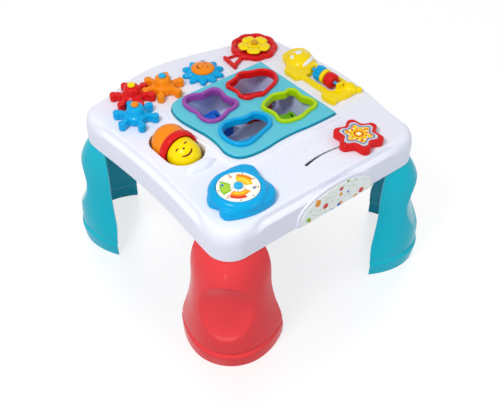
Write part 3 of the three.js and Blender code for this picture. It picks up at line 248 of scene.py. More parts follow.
class Form:
    """Collects rings of points, in millimetres, into one mesh."""

    def __init__(self):
        self.bm = bmesh.new()

    def ring(self, outline, z=0):
        return [self.bm.verts.new((p.x * MM, p.y * MM, (p.z if len(p) == 3 else z) * MM)) for p in outline]

    def band(self, low, high):
        count = len(low)
        for i in range(count):
            j = (i + 1) % count
            self.bm.faces.new((low[i], low[j], high[j], high[i]))

    def cap(self, ring):
        self.bm.faces.new(ring)

    def bands(self, rings, caps=(False, False)):
        for low, high in zip(rings, rings[1:]):
            self.band(low, high)
        for end, closed in zip((0, -1), caps):
            if closed:
                self.cap(rings[end])
        return rings

    def sweep(self, outline_at, profile, caps=(True, True)):
        """Rings from an outline that depends on an inset, along a profile of (inset, height)."""
        return self.bands([self.ring(outline_at(depth), z) for depth, z in profile], caps)

    def turn(self, profile, x=0, y=0, count=64):
        """A turned body from a profile of (radius, height) that starts and ends on its axis."""
        self.sweep(lambda radius: circle(max(radius, AXIS_RADIUS), x, y, count), profile)

    def fill(self, outer, holes):
        """Flat faces between an outer ring and the rings of its holes."""
        rings = [outer, *holes]
        verts = [v for ring in rings for v in ring]
        loops = [[at(v.co.x, v.co.y) / MM for v in ring] for ring in rings]
        edges = []
        for ring in rings:
            start = len(edges)
            edges += [(start + i, start + (i + 1) % len(ring)) for i in range(len(ring))]
        flat = [p for loop in loops for p in loop]
        found = geometry.delaunay_2d_cdt(flat, edges, [], 1, FLAT_PRECISION)
        made = [verts[ids[0]] if ids else None for ids in found[3]]
        for face in found[2]:
            middle = sum((found[0][i] for i in face), Vector((0, 0))) / len(face)
            if not inside(middle, loops[0]) or any(inside(middle, hole) for hole in loops[1:]):
                continue
            corners = [made[i] for i in face]
            if None not in corners:
                self.bm.faces.new(corners)

    def move(self, matrix):
        bmesh.ops.transform(self.bm, matrix=matrix, verts=self.bm.verts)

    def laid_along_y(self, place, sharp):
        """The mesh of a body drawn about Z, turned to lie along Y at a place."""
        self.move(Matrix.Translation(Vector(place) * MM) @ Matrix.Rotation(math.radians(-90), 4, "X"))
        return self.mesh(sharp)

    def mesh(self, sharp=50):
        """The finished mesh, whose edges stay sharp where they bend by more than some degrees."""
        bmesh.ops.remove_doubles(self.bm, verts=self.bm.verts, dist=MERGE_DISTANCE)
        loose = [v for v in self.bm.verts if not v.link_faces]
        bmesh.ops.delete(self.bm, geom=loose, context="VERTS")
        bmesh.ops.recalc_face_normals(self.bm, faces=self.bm.faces)
        data = bpy.data.meshes.new("mesh")
        self.bm.to_mesh(data)
        self.bm.free()
        data.shade_smooth()
        data.set_sharp_from_angle(angle=math.radians(sharp))
        return data

    def fused(self, voxel, rounds):
        """The mesh of one smooth skin round overlapping bodies, with a soft fillet where they meet."""
        made = add_object("fused", self.mesh(60))
        remesh = made.modifiers.new("skin", "REMESH")
        remesh.mode = "VOXEL"
        remesh.voxel_size = voxel * MM
        made.modifiers.new("relax", "SMOOTH").iterations = rounds
        bpy.context.view_layer.update()
        graph = bpy.context.evaluated_depsgraph_get()
        found = bpy.data.meshes.new_from_object(made.evaluated_get(graph))
        bpy.data.meshes.remove(made.data)
        found.shade_smooth()
        return found


def swept(outline_at, profile, caps=(True, True), sharp=50):
    form = Form()
    form.sweep(outline_at, profile, caps)
    return form.mesh(sharp)


def turned(profile, middle, sides, sharp=50):
    form = Form()
    form.turn(profile, middle.x, middle.y, sides)
    return form.mesh(sharp)


STROKE_END = 0.02  # how thin a stroke gets at its ends, as the square of a share


def stroke(form, points, radius, sides=8):
    """A tube with round thin ends through 3D points, such as a smile."""
    count = len(points)
    rings = []
    for i, p in enumerate(points):
        ahead = points[min(i + 1, count - 1)] - points[max(i - 1, 0)]
        turn = ahead.to_track_quat("Z", "Y")
        share = math.sqrt(max(1 - (2 * i / (count - 1) - 1) ** 4, STROKE_END))
        ring = [turn @ Vector((radius * share * math.cos(TAU * k / sides),
                               radius * share * math.sin(TAU * k / sides), 0)) + p for k in range(sides)]
        rings.append(form.ring(ring))
    form.bands(rings, (True, True))


WEIGHTED_LIMIT = 60000  # faces of a mesh, above which plain smooth shading does


def show(name, data, slot, body, nodes=(), material=None):
    """Puts a mesh in the scene as one piece that rides on a body, in its slot's finish or in a print."""
    made = add_object(name, data)
    data.name = name
    data.materials.clear()
    data.materials.append(material or finish[slot])
    if len(data.polygons) < WEIGHTED_LIMIT:
        made.modifiers.new("weighted normals", "WEIGHTED_NORMAL").keep_sharp = True
    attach(made, body)
    if nodes:
        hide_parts(*nodes)
    return made


# Places, taken from the frame
def node_box(node):
    low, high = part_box(node)
    return low / MM, high / MM


def centre(node):
    low, high = node_box(node)
    return (low + high) / 2


def heights(node):
    low, high = node_box(node)
    return low.z, high.z


def space(node):
    """A node's lowest and highest level, its middle, and its radius in the plan."""
    low, high = node_box(node)
    return low.z, high.z, (low + high) / 2, (high.x - low.x) / 2


# Materials
def linear(red, green, blue):
    """A colour as seen on a screen, from 0 to 255, as linear values."""
    def channel(value):
        value /= 255
        return value / 12.92 if value <= 0.04045 else ((value + 0.055) / 1.055) ** 2.4
    return (channel(red), channel(green), channel(blue), 1)


def shaded(colour, share):
    """A darker or, above one, lighter neighbour of a colour."""
    return tuple(min(c * share, 1) for c in colour[:3]) + (1,)


def grey(value):
    return (value, value, value, 1)


class Nodes:
    """The node tree of a material or world, with short ways to add and join nodes."""

    def __init__(self, owner):
        owner.use_nodes = True
        self.owner = owner
        self.tree = owner.node_tree
        self.shader = self.tree.nodes.get("Principled BSDF")

    def feed(self, socket, given):
        """Sets a socket to a value, or joins another node's result to it."""
        if isinstance(given, bpy.types.NodeSocket):
            self.tree.links.new(given, socket)
        else:
            socket.default_value = given

    def feed_all(self, node, given):
        """Feeds a node's sockets by name or number, or from the first one on."""
        for key, value in given.items() if isinstance(given, dict) else enumerate(given):
            self.feed(node.inputs[key], value)

    def add(self, kind, given=(), **settings):
        node = self.tree.nodes.new(kind)
        for key, value in settings.items():
            setattr(node, key, value)
        self.feed_all(node, given)
        return node

    def place(self):
        return self.add("ShaderNodeTexCoord").outputs["Object"]

    def math(self, kind, *given):
        return self.add("ShaderNodeMath", given, operation=kind).outputs[0]

    def squares(self, a, b):
        return self.math("ADD", self.math("MULTIPLY", a, a), self.math("MULTIPLY", b, b))

    def noise(self, scale, detail):
        given = {"Vector": self.place(), "Scale": scale, "Detail": detail}
        return self.add("ShaderNodeTexNoise", given).outputs["Fac"]

    def ramp(self, fac, *stops):
        """A colour that goes from one stop to the other. Each stop is a position and a colour."""
        node = self.add("ShaderNodeValToRGB", [fac])
        for element, (position, colour) in zip(node.color_ramp.elements, stops):
            element.position = position
            element.color = colour
        return node.outputs["Color"]

    def mix(self, fac, first, second):
        return self.add("ShaderNodeMix", {0: fac, 6: first, 7: second}, data_type="RGBA").outputs[2]

    def mix_shaders(self, fac, first, second):
        return self.add("ShaderNodeMixShader", [fac, first.outputs[0], second.outputs[0]])

    def bump(self, height, strength):
        node = self.add("ShaderNodeBump", {"Strength": strength, "Distance": PEEL_DEPTH, "Height": height})
        self.feed(self.shader.inputs["Normal"], node.outputs["Normal"])


PEEL_SCALE = 420  # one wave of the moulded skin in about 2.4 mm
PEEL_DEPTH = 0.00002
PEEL_STRENGTH = 0.12
CLOUD_SCALE = 11
WEAR_SCALE = 60
DRAWN_SCALE = 1400  # the drawn lines of the steel
DRAWN_STRENGTH = 0.2
GLASSY_IOR = 1.5
COAT_ROUGHNESS = 0.12
COAT_WEIGHT = 0.06
SPECULAR_LEVEL = 0.14  # under the usual 0.5, so that the white surroundings don't wash the colours out


def plastic(name, rgb, gloss=0.24, spread=0.03, coat=COAT_WEIGHT, specular=SPECULAR_LEVEL):
    """Moulded plastic: a faint cloud in its colour, a gloss that varies a little, and a fine soft skin."""
    nodes = Nodes(bpy.data.materials.new(name))
    colour = linear(*rgb)
    cloud = nodes.noise(CLOUD_SCALE, 1)
    wear = nodes.noise(WEAR_SCALE, 2)
    darker, lighter = shaded(colour, 1 - spread), shaded(colour, 1 + spread)
    nodes.feed_all(nodes.shader, {
        "Base Color": nodes.ramp(cloud, (0.3, darker), (0.7, lighter)),
        "Roughness": nodes.ramp(wear, (0.3, grey(gloss * 0.9)), (0.75, grey(gloss * 1.15))),
        "IOR": GLASSY_IOR,
        "Specular IOR Level": specular,
        "Coat Weight": coat,
        "Coat Roughness": COAT_ROUGHNESS,
    })
    nodes.bump(nodes.noise(PEEL_SCALE, 1), PEEL_STRENGTH)
    return nodes.owner


def steel(level=0.6, rough=0.3):
    """Plain steel with fine drawn lines."""
    nodes = Nodes(bpy.data.materials.new("steel"))
    colour = (level, level, level + 0.02, 1)
    lines = nodes.noise(DRAWN_SCALE, 3)
    nodes.feed_all(nodes.shader, {
        "Base Color": nodes.ramp(lines, (0.3, shaded(colour, 0.85)), (0.7, colour)),
        "Metallic": 1,
        "Roughness": rough,
    })
    nodes.bump(lines, DRAWN_STRENGTH)
    return nodes.owner


PLASTICS = {  # colour, then gloss, spread, coat and specular level where they differ from the usual
    "white_plastic": ((241, 242, 252), 0.34, 0.004, 0.04),
    "teal_plastic": ((0, 188, 208),),
    "coral_plastic": ((240, 70, 74), 0.17, 0.02, 0.03, 0.05),
    "panel_plastic": ((96, 200, 218),),
    # a darker teal for the panel's steep side faces: painted shade
    "panel_side_painted_shade": ((0, 150, 178),),
    "grey_plastic": ((206, 216, 255),),
    "blue_plastic": ((0, 168, 226),),
    "sky_plastic": ((40, 178, 232),),
    "red_plastic": ((222, 22, 24),),
    "orange_plastic": ((250, 142, 12),),
    "yellow_plastic": ((255, 222, 0),),
    "purple_plastic": ((158, 78, 170),),
    "violet_plastic": ((40, 112, 222),),
    "lime_plastic": ((176, 216, 8),),
    "green_plastic": ((120, 190, 40),),
    "amber_plastic": ((218, 160, 6),),
    "black_plastic": ((120, 40, 8),),
    "board_green": ((30, 110, 60), 0.5, 0.1, 0),
}
finish = {slot: plastic(slot, *look) for slot, look in PLASTICS.items()}
finish["steel"] = steel()

# Table top: the flat face with its wells and reliefs, the stepped edge and the skirt
EDGE_MIDDLE = soften([
    (0, -SKIRT_DEPTH), (0, -14), (3.2, -11.4), (8, -9.6), (9.4, -4), (10.6, -0.5), (14, 0),
], [0, 1.6, 2.4, 2.6, 2, 1.6, 0])
EDGE_CORNER = soften([
    (0, -SKIRT_DEPTH), (0, -24), (0.6, -17), (2.2, -10.5), (5.2, -4.6), (9.4, -1), (14, 0),
], [0, 3, 3, 4, 4, 4, 0])
EDGE_FADE = (12, 40)  # from the corner's end to where the stepped edge is whole
STRAIGHT = TABLE_HALF - CORNER_RADIUS
SIDE_PLACES = [STRAIGHT * (2 * i / SIDE_STEPS - 1) for i in range(1, SIDE_STEPS)]


def edge_share(along):
    """How much of the stepped edge there is at a place along a side."""
    return ease((STRAIGHT - abs(along) - EDGE_FADE[0]) / (EDGE_FADE[1] - EDGE_FADE[0]))


EDGE_SHARES = ([edge_share(along) for along in SIDE_PLACES] + [0] * (CORNER_STEPS + 1)) * len(BOWS)


def table_outline(depth_at):
    """Round corners joined by swelling sides. The inset depends on how far along its side a point lies."""
    found = []
    for side, bow in enumerate(BOWS):
        line = []
        for along in SIDE_PLACES:
            share = along / STRAIGHT
            swell = bow * (1 - share * share) ** BOW_POWER * (1 + LEANS[side] * share)
            line.append(at(TABLE_HALF - depth_at(edge_share(along)) + swell, along))
        line += arc(STRAIGHT, STRAIGHT, CORNER_RADIUS - depth_at(0), 0, 90, CORNER_STEPS)
        found += turned_by(line, 90 * side)
    return found


def edge_ring(level):
    """One ring of the edge, whose points are blended from the side's and the corner's profile."""
    middle, corner = EDGE_MIDDLE[level], EDGE_CORNER[level]
    plan = table_outline(lambda share: corner[0] + (middle[0] - corner[0]) * share)
    rises = [corner[1] + (middle[1] - corner[1]) * share for share in EDGE_SHARES]
    return [Vector((p.x, p.y, TABLE_HEIGHT + z)) for p, z in zip(plan, rises)]


PANEL_X, PANEL_Y = 14, 12
PANEL_HALF_X, PANEL_HALF_Y = 104, 96
PANEL_RIGHT, PANEL_BACK = PANEL_X + PANEL_HALF_X, PANEL_Y + PANEL_HALF_Y
PANEL_HEIGHT = 9
PANEL_CORNER = 1.5
PANEL_CORNER_LEAST = 0.3
PANEL_CORNER_STEPS = 4
PANEL_GAP = 0.5
PANEL_WAVE = [
    (-0.67, 1), (-0.86, 0.93), (-0.97, 0.75), (-1, 0.48), (-0.96, 0.17), (-0.91, -0.13), (-0.91, -0.42),
    (-0.94, -0.67), (-0.87, -0.88), (-0.69, -0.97), (-0.41, -0.99), (-0.13, -0.96), (0.17, -0.96),
    (0.48, -0.99), (0.75, -1),
]


def panel_corners(depth):
    """The two corners at the right, drawn in by a depth: the front one, then the back one."""
    radius = max(PANEL_CORNER - depth, PANEL_CORNER_LEAST)
    found = []
    for side, start in ((-1, -90), (1, 0)):
        x, y = PANEL_RIGHT - depth - radius, PANEL_Y + side * PANEL_HALF_Y - side * depth
        found += arc(x, y - side * radius, radius, start, start + 90, PANEL_CORNER_STEPS)
    return found


def panel_outline(growth):
    wave = smooth(from_shares(PANEL_WAVE, PANEL_X, PANEL_Y, PANEL_HALF_X, PANEL_HALF_Y), 8, False, 0)
    stretch = 1 + growth / (2 * PANEL_HALF_X)
    return [at(PANEL_RIGHT - (PANEL_RIGHT - p.x) * stretch, PANEL_BACK - (PANEL_BACK - p.y) * stretch)
            for p in wave + panel_corners(0)]


def panel_level(depth):
    """The panel's outline drawn in by a depth, with square corners that stay whole."""
    return inset(panel_outline(0), depth)[:-2 * (PANEL_CORNER_STEPS + 1)] + panel_corners(depth)


SURROUND_WIDTH = 11
SURROUND_HEIGHT = 4
SURROUND_LEAST = 1  # width at which the border has faded out
SURROUND_FADE = 7  # how much wider it is where it is whole
SURROUND_PROFILE = soften([
    (1.3, 0), (1.0, 0.4), (0.78, SURROUND_HEIGHT), (0.12, SURROUND_HEIGHT), (0, SURROUND_HEIGHT - 0.8),
    (0, 0),
], [0, 0.2, 0.2, 0.1, 0.2, 0], 4)


def surround_ring(share, z):
    """A ring of the raised border, which fades out along the right and back edges."""
    found = []
    for p, q in zip(inset(panel_outline(0), -PANEL_GAP), panel_outline(SURROUND_WIDTH)):
        width = (q - p).length
        whole = ease((width - SURROUND_LEAST) / SURROUND_FADE)
        out = (p - at(PANEL_X, PANEL_Y)).normalized()
        if width > SURROUND_LEAST:
            out = (q - p).normalized() * width
        place = p + out * share
        found.append(Vector((place.x, place.y, TABLE_HEIGHT + z * whole)))
    return found


SLOT_PIVOT = (33, -297)
SLOT_RADIUS = 155
SLOT_START, SLOT_END = 62.8, 103
SLOT_HALF = 1.5
SLOT_FLARE = 1.1  # how much wider to each side the slot is at its left end
SLOT_FLARE_SPAN = 16  # degrees over which it widens
SLOT_STEPS = 184
SLOT_END_STEPS = 8
COMB_START, COMB_END = 66, 95  # degrees between which the slot's outer edge has small teeth
COMB_PITCH = 0.875
COMB_DEPTH = 1.2


def from_pivot(radius, bearing):
    angle = math.radians(bearing)
    return at(SLOT_PIVOT[0] + radius * math.cos(angle), SLOT_PIVOT[1] + radius * math.sin(angle))


def comb(bearing):
    """How far the slot's outer edge steps out at a bearing."""
    return COMB_DEPTH if COMB_START < bearing < COMB_END and bearing / COMB_PITCH % 1 < 0.5 else 0


def flare(bearing):
    return SLOT_FLARE * ease((bearing - SLOT_END + SLOT_FLARE_SPAN) / SLOT_FLARE_SPAN)


def slot_end(bearing, half, start):
    """The half circle that closes the slot, without the points that it shares with the sides."""
    p = from_pivot(SLOT_RADIUS, bearing)
    return arc(p.x, p.y, half, start, start + 180, SLOT_END_STEPS)[1:-1]


def slot_outline(margin):
    half = SLOT_HALF + margin
    bearings = [SLOT_START + (SLOT_END - SLOT_START) * i / SLOT_STEPS for i in range(SLOT_STEPS + 1)]
    wide = SLOT_RADIUS + half
    outer = [from_pivot(wide + flare(bearing) + comb(bearing), bearing) for bearing in bearings]
    inner = [from_pivot(SLOT_RADIUS - half - flare(bearing), bearing) for bearing in reversed(bearings)]
    return (outer + slot_end(SLOT_END, half + SLOT_FLARE, SLOT_END)
            + inner + slot_end(SLOT_START, half, SLOT_START + 180))


ROLLER_X, ROLLER_Y = -128, 14
WELL_HALF_X, WELL_HALF_Y = 33.5, 49
WELL_CORNER = 30
WELL_DEPTH = 38.5
WELL_WALL = 2.5
MOUND_Y = -48.5
MOUND_HALF_X, MOUND_HALF_Y = 27, 11
MOUND_LOBES, MOUND_LOBE_SHARE = 5, 0.06
MOUND_TURN = 0.6  # radians
MOUND_PROFILE = [(1, 0), (0.95, 1.6), (0.84, 4.4), (0.66, 6.6), (0.42, 7.8), (0.2, 8.1)]


def well_outline(depth):
    return rounded_box(ROLLER_X, ROLLER_Y, WELL_HALF_X - depth, WELL_HALF_Y - depth, WELL_CORNER - depth, 14)


def mound_radius(angle):
    return 1 + MOUND_LOBE_SHARE * math.cos(MOUND_LOBES * angle + MOUND_TURN)


def mound_outline(share):
    return [at(ROLLER_X + p.x * MOUND_HALF_X * share, MOUND_Y + p.y * MOUND_HALF_Y * share)
            for p in polar(72, mound_radius)]


# Low moulded lines on the flat face: the star's track, and short marks beside the panel and the music box
RELIEF_RADIUS = 1.9
RELIEF_RISE = 0.65
RELIEF_PARTS = 10
RELIEFS = [
    [from_pivot(176, 76), from_pivot(176, 85), from_pivot(175.6, 94.6), from_pivot(173.4, 99),
     from_pivot(169, 102)],
    [from_pivot(137.5, 79), from_pivot(137.5, 88), from_pivot(137.5, 97), from_pivot(138, 105.7)],
    [at(182, -122), at(180.5, -135), at(167.8, -149.2), at(151.9, -162.1)],
    [at(150, -117), at(153.5, -112.6), at(162, -112.2), at(167, -116), at(168, -123)],
    [at(132, -81), at(130.6, -88), at(125.7, -94)],
    [at(-45, -124.6), at(-51, -130), at(-54, -139), at(-54.5, -152), at(-57, -161), at(-69.7, -161.5)],
]


def moulded_lines(form):
    level = TABLE_HEIGHT + RELIEF_RISE - RELIEF_RADIUS
    for points in RELIEFS:
        line = [Vector((p.x, p.y, level)) for p in smooth(points, RELIEF_PARTS, False)]
        stroke(form, line, RELIEF_RADIUS, 16)


LIP = 1.5  # rounding where the flat face turns down into the roller's well
SLOT_LIP = 0.4


def down_into(form, outline_at, depth, lip, closed):
    """A wall that rounds over from the flat face and goes down. Returns its top ring and its lowest."""
    low = TABLE_HEIGHT - depth
    line = [(-lip, TABLE_HEIGHT), (0, TABLE_HEIGHT), (0, low)]
    if closed:
        line.append((2 * lip, low))
    rings = form.sweep(outline_at, soften(line, lip, 4), (False, closed))
    return rings[0], rings[-1]


BIN_X, BIN_Y = 21, 18
BIN_HALF_X, BIN_HALF_Y = 85, 78
BIN_CORNER = 12
BIN_SEAT = 2.5  # how much larger than the bin the opening in the top is


def bin_outline(margin):
    return rounded_box(BIN_X, BIN_Y, BIN_HALF_X + margin, BIN_HALF_Y + margin, BIN_CORNER + margin, 10)


# Arch-topped swelling on the front of the skirt, which carries the plate
PLATE_X = 13
PLATE_HALF = 73
PLATE_RISE = 43
PAD_MARGIN = 7
PAD_DEPTH = 2.5
PAD_PROFILE = [
    (PAD_MARGIN, -1), (PAD_MARGIN, PAD_DEPTH - 1.4), (PAD_MARGIN - 0.5, PAD_DEPTH - 0.5),
    (PAD_MARGIN - 1.4, PAD_DEPTH), (0.4, PAD_DEPTH),
]
ARCH_POWER = 0.7
ARCH_STEPS = 48


def arch_outline(growth):
    """Points in the upright plane of the front, as (x, height)."""
    low = TABLE_HEIGHT - SKIRT_DEPTH
    found = []
    for i in range(ARCH_STEPS + 1):
        angle = math.pi * i / ARCH_STEPS
        rise = (PLATE_RISE + growth) * math.sin(angle) ** ARCH_POWER
        found.append(at(PLATE_X + (PLATE_HALF + growth) * math.cos(angle), low + rise))
    return found


def arched_body(form, profile):
    """A body swept toward the front from the skirt's face: the profile is a list of (growth, reach)."""
    rings = [form.ring([Vector((p.x, -TABLE_HALF - reach, p.y)) for p in arch_outline(growth)])
             for growth, reach in profile]
    form.bands(rings, (True, True))


POSTS = ("red_gear_cap", "blue_gear_cap", "orange_gear_cap", "sun_face", "flower_cap")
POST_RADIUS = 3.6
POST_SINK = 1.5  # how far each post ends below its cap's lowest point
POST_ROUNDING = 0.5
CEILING_DROP, CEILING_INSET = 18, 12  # the slope between the skirt's inner side and the top's underside


def table_top():
    form = Form()
    edge = form.bands([form.ring(edge_ring(level)) for level in range(len(EDGE_MIDDLE))])
    border = form.bands([form.ring(surround_ring(share, z)) for share, z in SURROUND_PROFILE])
    well = down_into(form, well_outline, WELL_DEPTH, LIP, True)
    swelling = [(share, TABLE_HEIGHT + z) for share, z in MOUND_PROFILE]
    mound = form.sweep(mound_outline, swelling, (False, True))
    slot = down_into(form, lambda depth: slot_outline(-depth), WALL, SLOT_LIP, False)
    holes = [border[0], well[0], mound[0], slot[0]]
    for node in POSTS:
        place = centre(node)
        low = node_box(node)[0].z - POST_SINK
        post = soften([(POST_RADIUS, TABLE_HEIGHT), (POST_RADIUS, low), (POST_ROUNDING, low)],
                      POST_ROUNDING, 2)
        holes.append(form.sweep(lambda radius: circle(radius, place.x, place.y, 24), post, (False, True))[0])
    form.fill(edge[-1], holes)
    opening = [(BIN_SEAT, TABLE_HEIGHT), (BIN_SEAT, TABLE_HEIGHT - WALL)]
    seat = form.sweep(bin_outline, opening, (False, False))
    form.fill(border[-1], [seat[0]])
    inner = [(WALL, TABLE_HEIGHT - SKIRT_DEPTH), (WALL, TABLE_HEIGHT - CEILING_DROP),
             (WALL + CEILING_INSET, TABLE_HEIGHT - WALL)]
    under = form.sweep(lambda depth: table_outline(lambda share: depth), inner, (False, False))
    form.band(edge[0], under[0])
    outside = form.sweep(lambda depth: well_outline(-depth), [
        (WELL_WALL, TABLE_HEIGHT - WALL), (WELL_WALL, TABLE_HEIGHT - WELL_DEPTH - WELL_WALL),
    ], (False, True))
    form.fill(under[-1], [seat[1], slot[1], outside[0]])
    moulded_lines(form)
    arched_body(form, PAD_PROFILE)
    return form.mesh()


show("moulded_table_top", table_top(), "white_plastic", "root", ["table_top"])


# Legs: open shells that swell, draw in and carry a round dimple on their corner
LEG_REACH = 234
LEG_TOP = 198.5
LEG_HEIGHT = 202.7
LEG_CORNER = (72, 36.5)  # at the floor and under the skirt
LEG_LEVELS = [
    (0, 0.97), (0.1, 1), (0.122, 0.975), (0.138, 0.9), (0.155, 0.925), (0.22, 0.91), (0.3, 0.87),
    (0.43, 0.79), (0.56, 0.69), (0.7, 0.58), (0.82, 0.44), (0.91, 0.26), (1, 0),
]
LEG_ENDS = [
    (0, 98), (0.13, 98), (0.22, 99.4), (0.3, 102.6), (0.43, 109.3), (0.6, 114.7), (0.78, 115.6),
    (0.9, 119.3), (1, 125),
]
LEG_SWELLS = [(0, 0.44), (0.14, 0.44), (0.22, 0.37), (0.3, 0.29), (0.43, 0.23), (0.6, 0.2), (1, 0.2)]
LEG_ROOF = (LEG_HEIGHT - 3, LEG_HEIGHT - 0.05)
DIMPLE_DEPTH = 12
DIMPLE_POWER = 2.8
DIMPLE_HALF = (42, 53)
DIMPLE_MIDDLE = 112
LEG_ROWS = 130
LEG_WING_STEPS = 16
LEG_CORNER_STEPS = 44


def read_off(levels, height):
    """A value at a height, by a curve through the rows of a table that keeps its steps."""
    line = [at(*p) for p in levels]
    k = 0
    while k < len(levels) - 2 and height > levels[k + 1][0]:
        k += 1
    (low, a), (high, b) = levels[k], levels[k + 1]
    before = line[max(k - 1, 0)]
    after = line[min(k + 2, len(line) - 1)]
    slope_a = (b - before.y) / max(high - before.x, TINY)
    slope_b = (after.y - a) / max(after.x - low, TINY)
    span = high - low
    t = (height - low) / span
    bend = t * t * (3 - 2 * t)
    start = t * (1 - t) ** 2 * span * slope_a
    end = t * t * (t - 1) * span * slope_b
    return a + (b - a) * bend + start + end


def dimple(p, z):
    aside = (p.x - p.y) / math.sqrt(2)
    away = math.hypot(aside / DIMPLE_HALF[0], (z - DIMPLE_MIDDLE) / DIMPLE_HALF[1])
    depth = DIMPLE_DEPTH * (1 - away ** DIMPLE_POWER) if away < 1 else 0
    return p - at(depth, depth) / math.sqrt(2)


def leg_section(height):
    """The outer side from one end to the other, and back along the inner side."""
    share = height / LEG_HEIGHT
    reach = LEG_TOP + (LEG_REACH - LEG_TOP) * read_off(LEG_LEVELS, share)
    radius = LEG_CORNER[0] + (LEG_CORNER[1] - LEG_CORNER[0]) * share
    end = read_off(LEG_ENDS, share)
    edge = LEG_TOP + (reach - LEG_TOP) * read_off(LEG_SWELLS, share)
    middle = reach - radius
    wing = []
    for i in range(LEG_WING_STEPS):
        t = 1 - i / LEG_WING_STEPS
        wing.append(at(reach - (reach - edge) * t * t, middle - (middle - end) * t))
    corner = arc(middle, middle, radius, 0, 90, LEG_CORNER_STEPS)
    outer = [dimple(p, height) for p in wing + corner + [at(p.y, p.x) for p in wing][::-1]]
    inner = inset(outer + [at(0, 0)], WALL)[:-1]
    return outer + inner[::-1]


def leg_mesh(turn):
    form = Form()
    rings = form.sweep(leg_section, [(LEG_HEIGHT * i / LEG_ROWS,) * 2 for i in range(LEG_ROWS + 1)],
                       (False, False))
    for ring in (rings[0], rings[-1]):
        last = len(ring) - 1
        for i in range(len(ring) // 2 - 1):
            form.bm.faces.new((ring[i], ring[i + 1], ring[last - 1 - i], ring[last - i]))
    leg_roof(form)
    form.move(Matrix.Rotation(math.radians(turn), 4, "Z"))
    return form.mesh(40)


def leg_roof(form):
    """The leg's flat top, which the screw goes up through."""
    outer = leg_section(LEG_HEIGHT)[:2 * LEG_WING_STEPS + LEG_CORNER_STEPS + 1]
    plan = inset(outer + [at(LEG_ENDS[-1][1], LEG_ENDS[-1][1])], WALL / 2)
    form.sweep(lambda depth: inset(plan, depth), [(0, z) for z in LEG_ROOF])


LEGS = {"back_right": "coral", "back_left": "teal", "front_left": "coral", "front_right": "teal"}
for i, (corner, look) in enumerate(LEGS.items()):
    show(f"shell_leg_{corner}", leg_mesh(90 * i), f"{look}_plastic", "root", [f"leg_{corner}"])


# Sorter: bin, panel, rims and blocks
PANEL_LOW = 0.3
PANEL_WALL = 3
PANEL_EDGE_RISE = 0.2  # the soft border of the panel stands a little above its face
RIM_WIDTH = 6.6
RIM_HEIGHT = 5.8
RIM_SLEEVE = 1.7
RIM_SLEEVE_DEPTH = 7
RIM_STEPS = 24
RIM_PARTS = 6
BIN_FLOOR = 2.5
BLOCK_CLEARANCE = 2.4
BLOCK_HEIGHT = 20
BLOCK_SINK = 2
BLOCK_KNOB = 9
HOLES = {
    "back_left": ("purple", "violet", -29.5, 56.5, 39.5, 44.5, [
        (-0.88, 0.72), (-0.6, 0.97), (-0.22, 0.96), (0.14, 0.8), (0.5, 0.82), (0.85, 0.75), (0.95, 0.45),
        (0.86, 0.12), (0.93, -0.2), (1, -0.5), (0.75, -0.74), (0.33, -0.78), (-0.03, -0.92), (-0.45, -1),
        (-0.8, -0.86), (-0.96, -0.5), (-0.88, -0.1), (-0.97, 0.3),
    ]),
    "back_right": ("red", "red", 64.5, 60.5, 46.5, 39.5, [
        (-0.84, 0.7), (-0.46, 0.77), (-0.05, 1), (0.34, 0.78), (0.74, 0.62), (0.99, 0.2), (0.88, -0.36),
        (0.55, -0.66), (0.12, -0.84), (-0.22, -0.98), (-0.5, -0.84), (-0.82, -0.8), (-0.98, -0.42),
        (-0.89, 0.02), (-0.98, 0.4),
    ]),
    "front_right": ("lime", "green", 67.5, -24.5, 42.5, 40.5, [
        (-0.86, 0.66), (-0.4, 0.9), (0.03, 0.99), (0.36, 0.82), (0.7, 0.87), (0.92, 0.6), (0.83, 0.18),
        (0.95, -0.2), (0.98, -0.6), (0.72, -0.8), (0.34, -0.86), (-0.06, -0.98), (-0.46, -0.94),
        (-0.84, -0.8), (-0.97, -0.5), (-0.87, -0.14), (-0.9, 0.2), (-0.96, 0.44),
    ]),
    "front_left": ("blue", "sky", -23.5, -29.5, 45.5, 35.5, [
        (-0.86, 0.68), (-0.43, 0.98), (0, 0.88), (0.34, 0.72), (0.7, 0.76), (0.97, 0.42), (1, -0.1),
        (0.78, -0.52), (0.34, -0.72), (-0.05, -0.88), (-0.45, -0.99), (-0.82, -0.8), (-1, -0.28),
        (-0.99, 0.26),
    ]),
}


def hole_outline(corner, depth):
    """The rim's outer edge, drawn in by a depth: coarse first, so that it never crosses, then smooth."""
    _, _, x, y, half_x, half_y, shares = HOLES[corner]
    coarse = even(smooth(from_shares(shares, x, y, half_x, half_y), 12), RIM_STEPS)
    return smooth(inset(counter_clockwise(coarse), depth), RIM_PARTS)


def panel_mesh():
    form = Form()
    low, high = TABLE_HEIGHT + PANEL_LOW, TABLE_HEIGHT + PANEL_HEIGHT
    crest = high + PANEL_EDGE_RISE
    outer = soften([(0, low), (0, crest), (7, crest), (9, high)], [0, 4.2, 1, 0], 7)
    rings = form.sweep(panel_level, outer, (False, False))
    under = form.sweep(panel_level, [(PANEL_WALL, low), (PANEL_WALL, high - PANEL_WALL)], (False, False))
    form.band(rings[0], under[0])
    holes = [form.sweep(lambda depth: hole_outline(corner, depth), [
        (RIM_WIDTH - RIM_SLEEVE - PANEL_LOW, high), (RIM_WIDTH - RIM_SLEEVE - PANEL_LOW, high - PANEL_WALL),
    ], (False, False)) for corner in HOLES]
    form.fill(rings[-1], [top for top, bottom in holes])
    form.fill(under[1], [bottom for top, bottom in holes])
    return form.mesh(60)


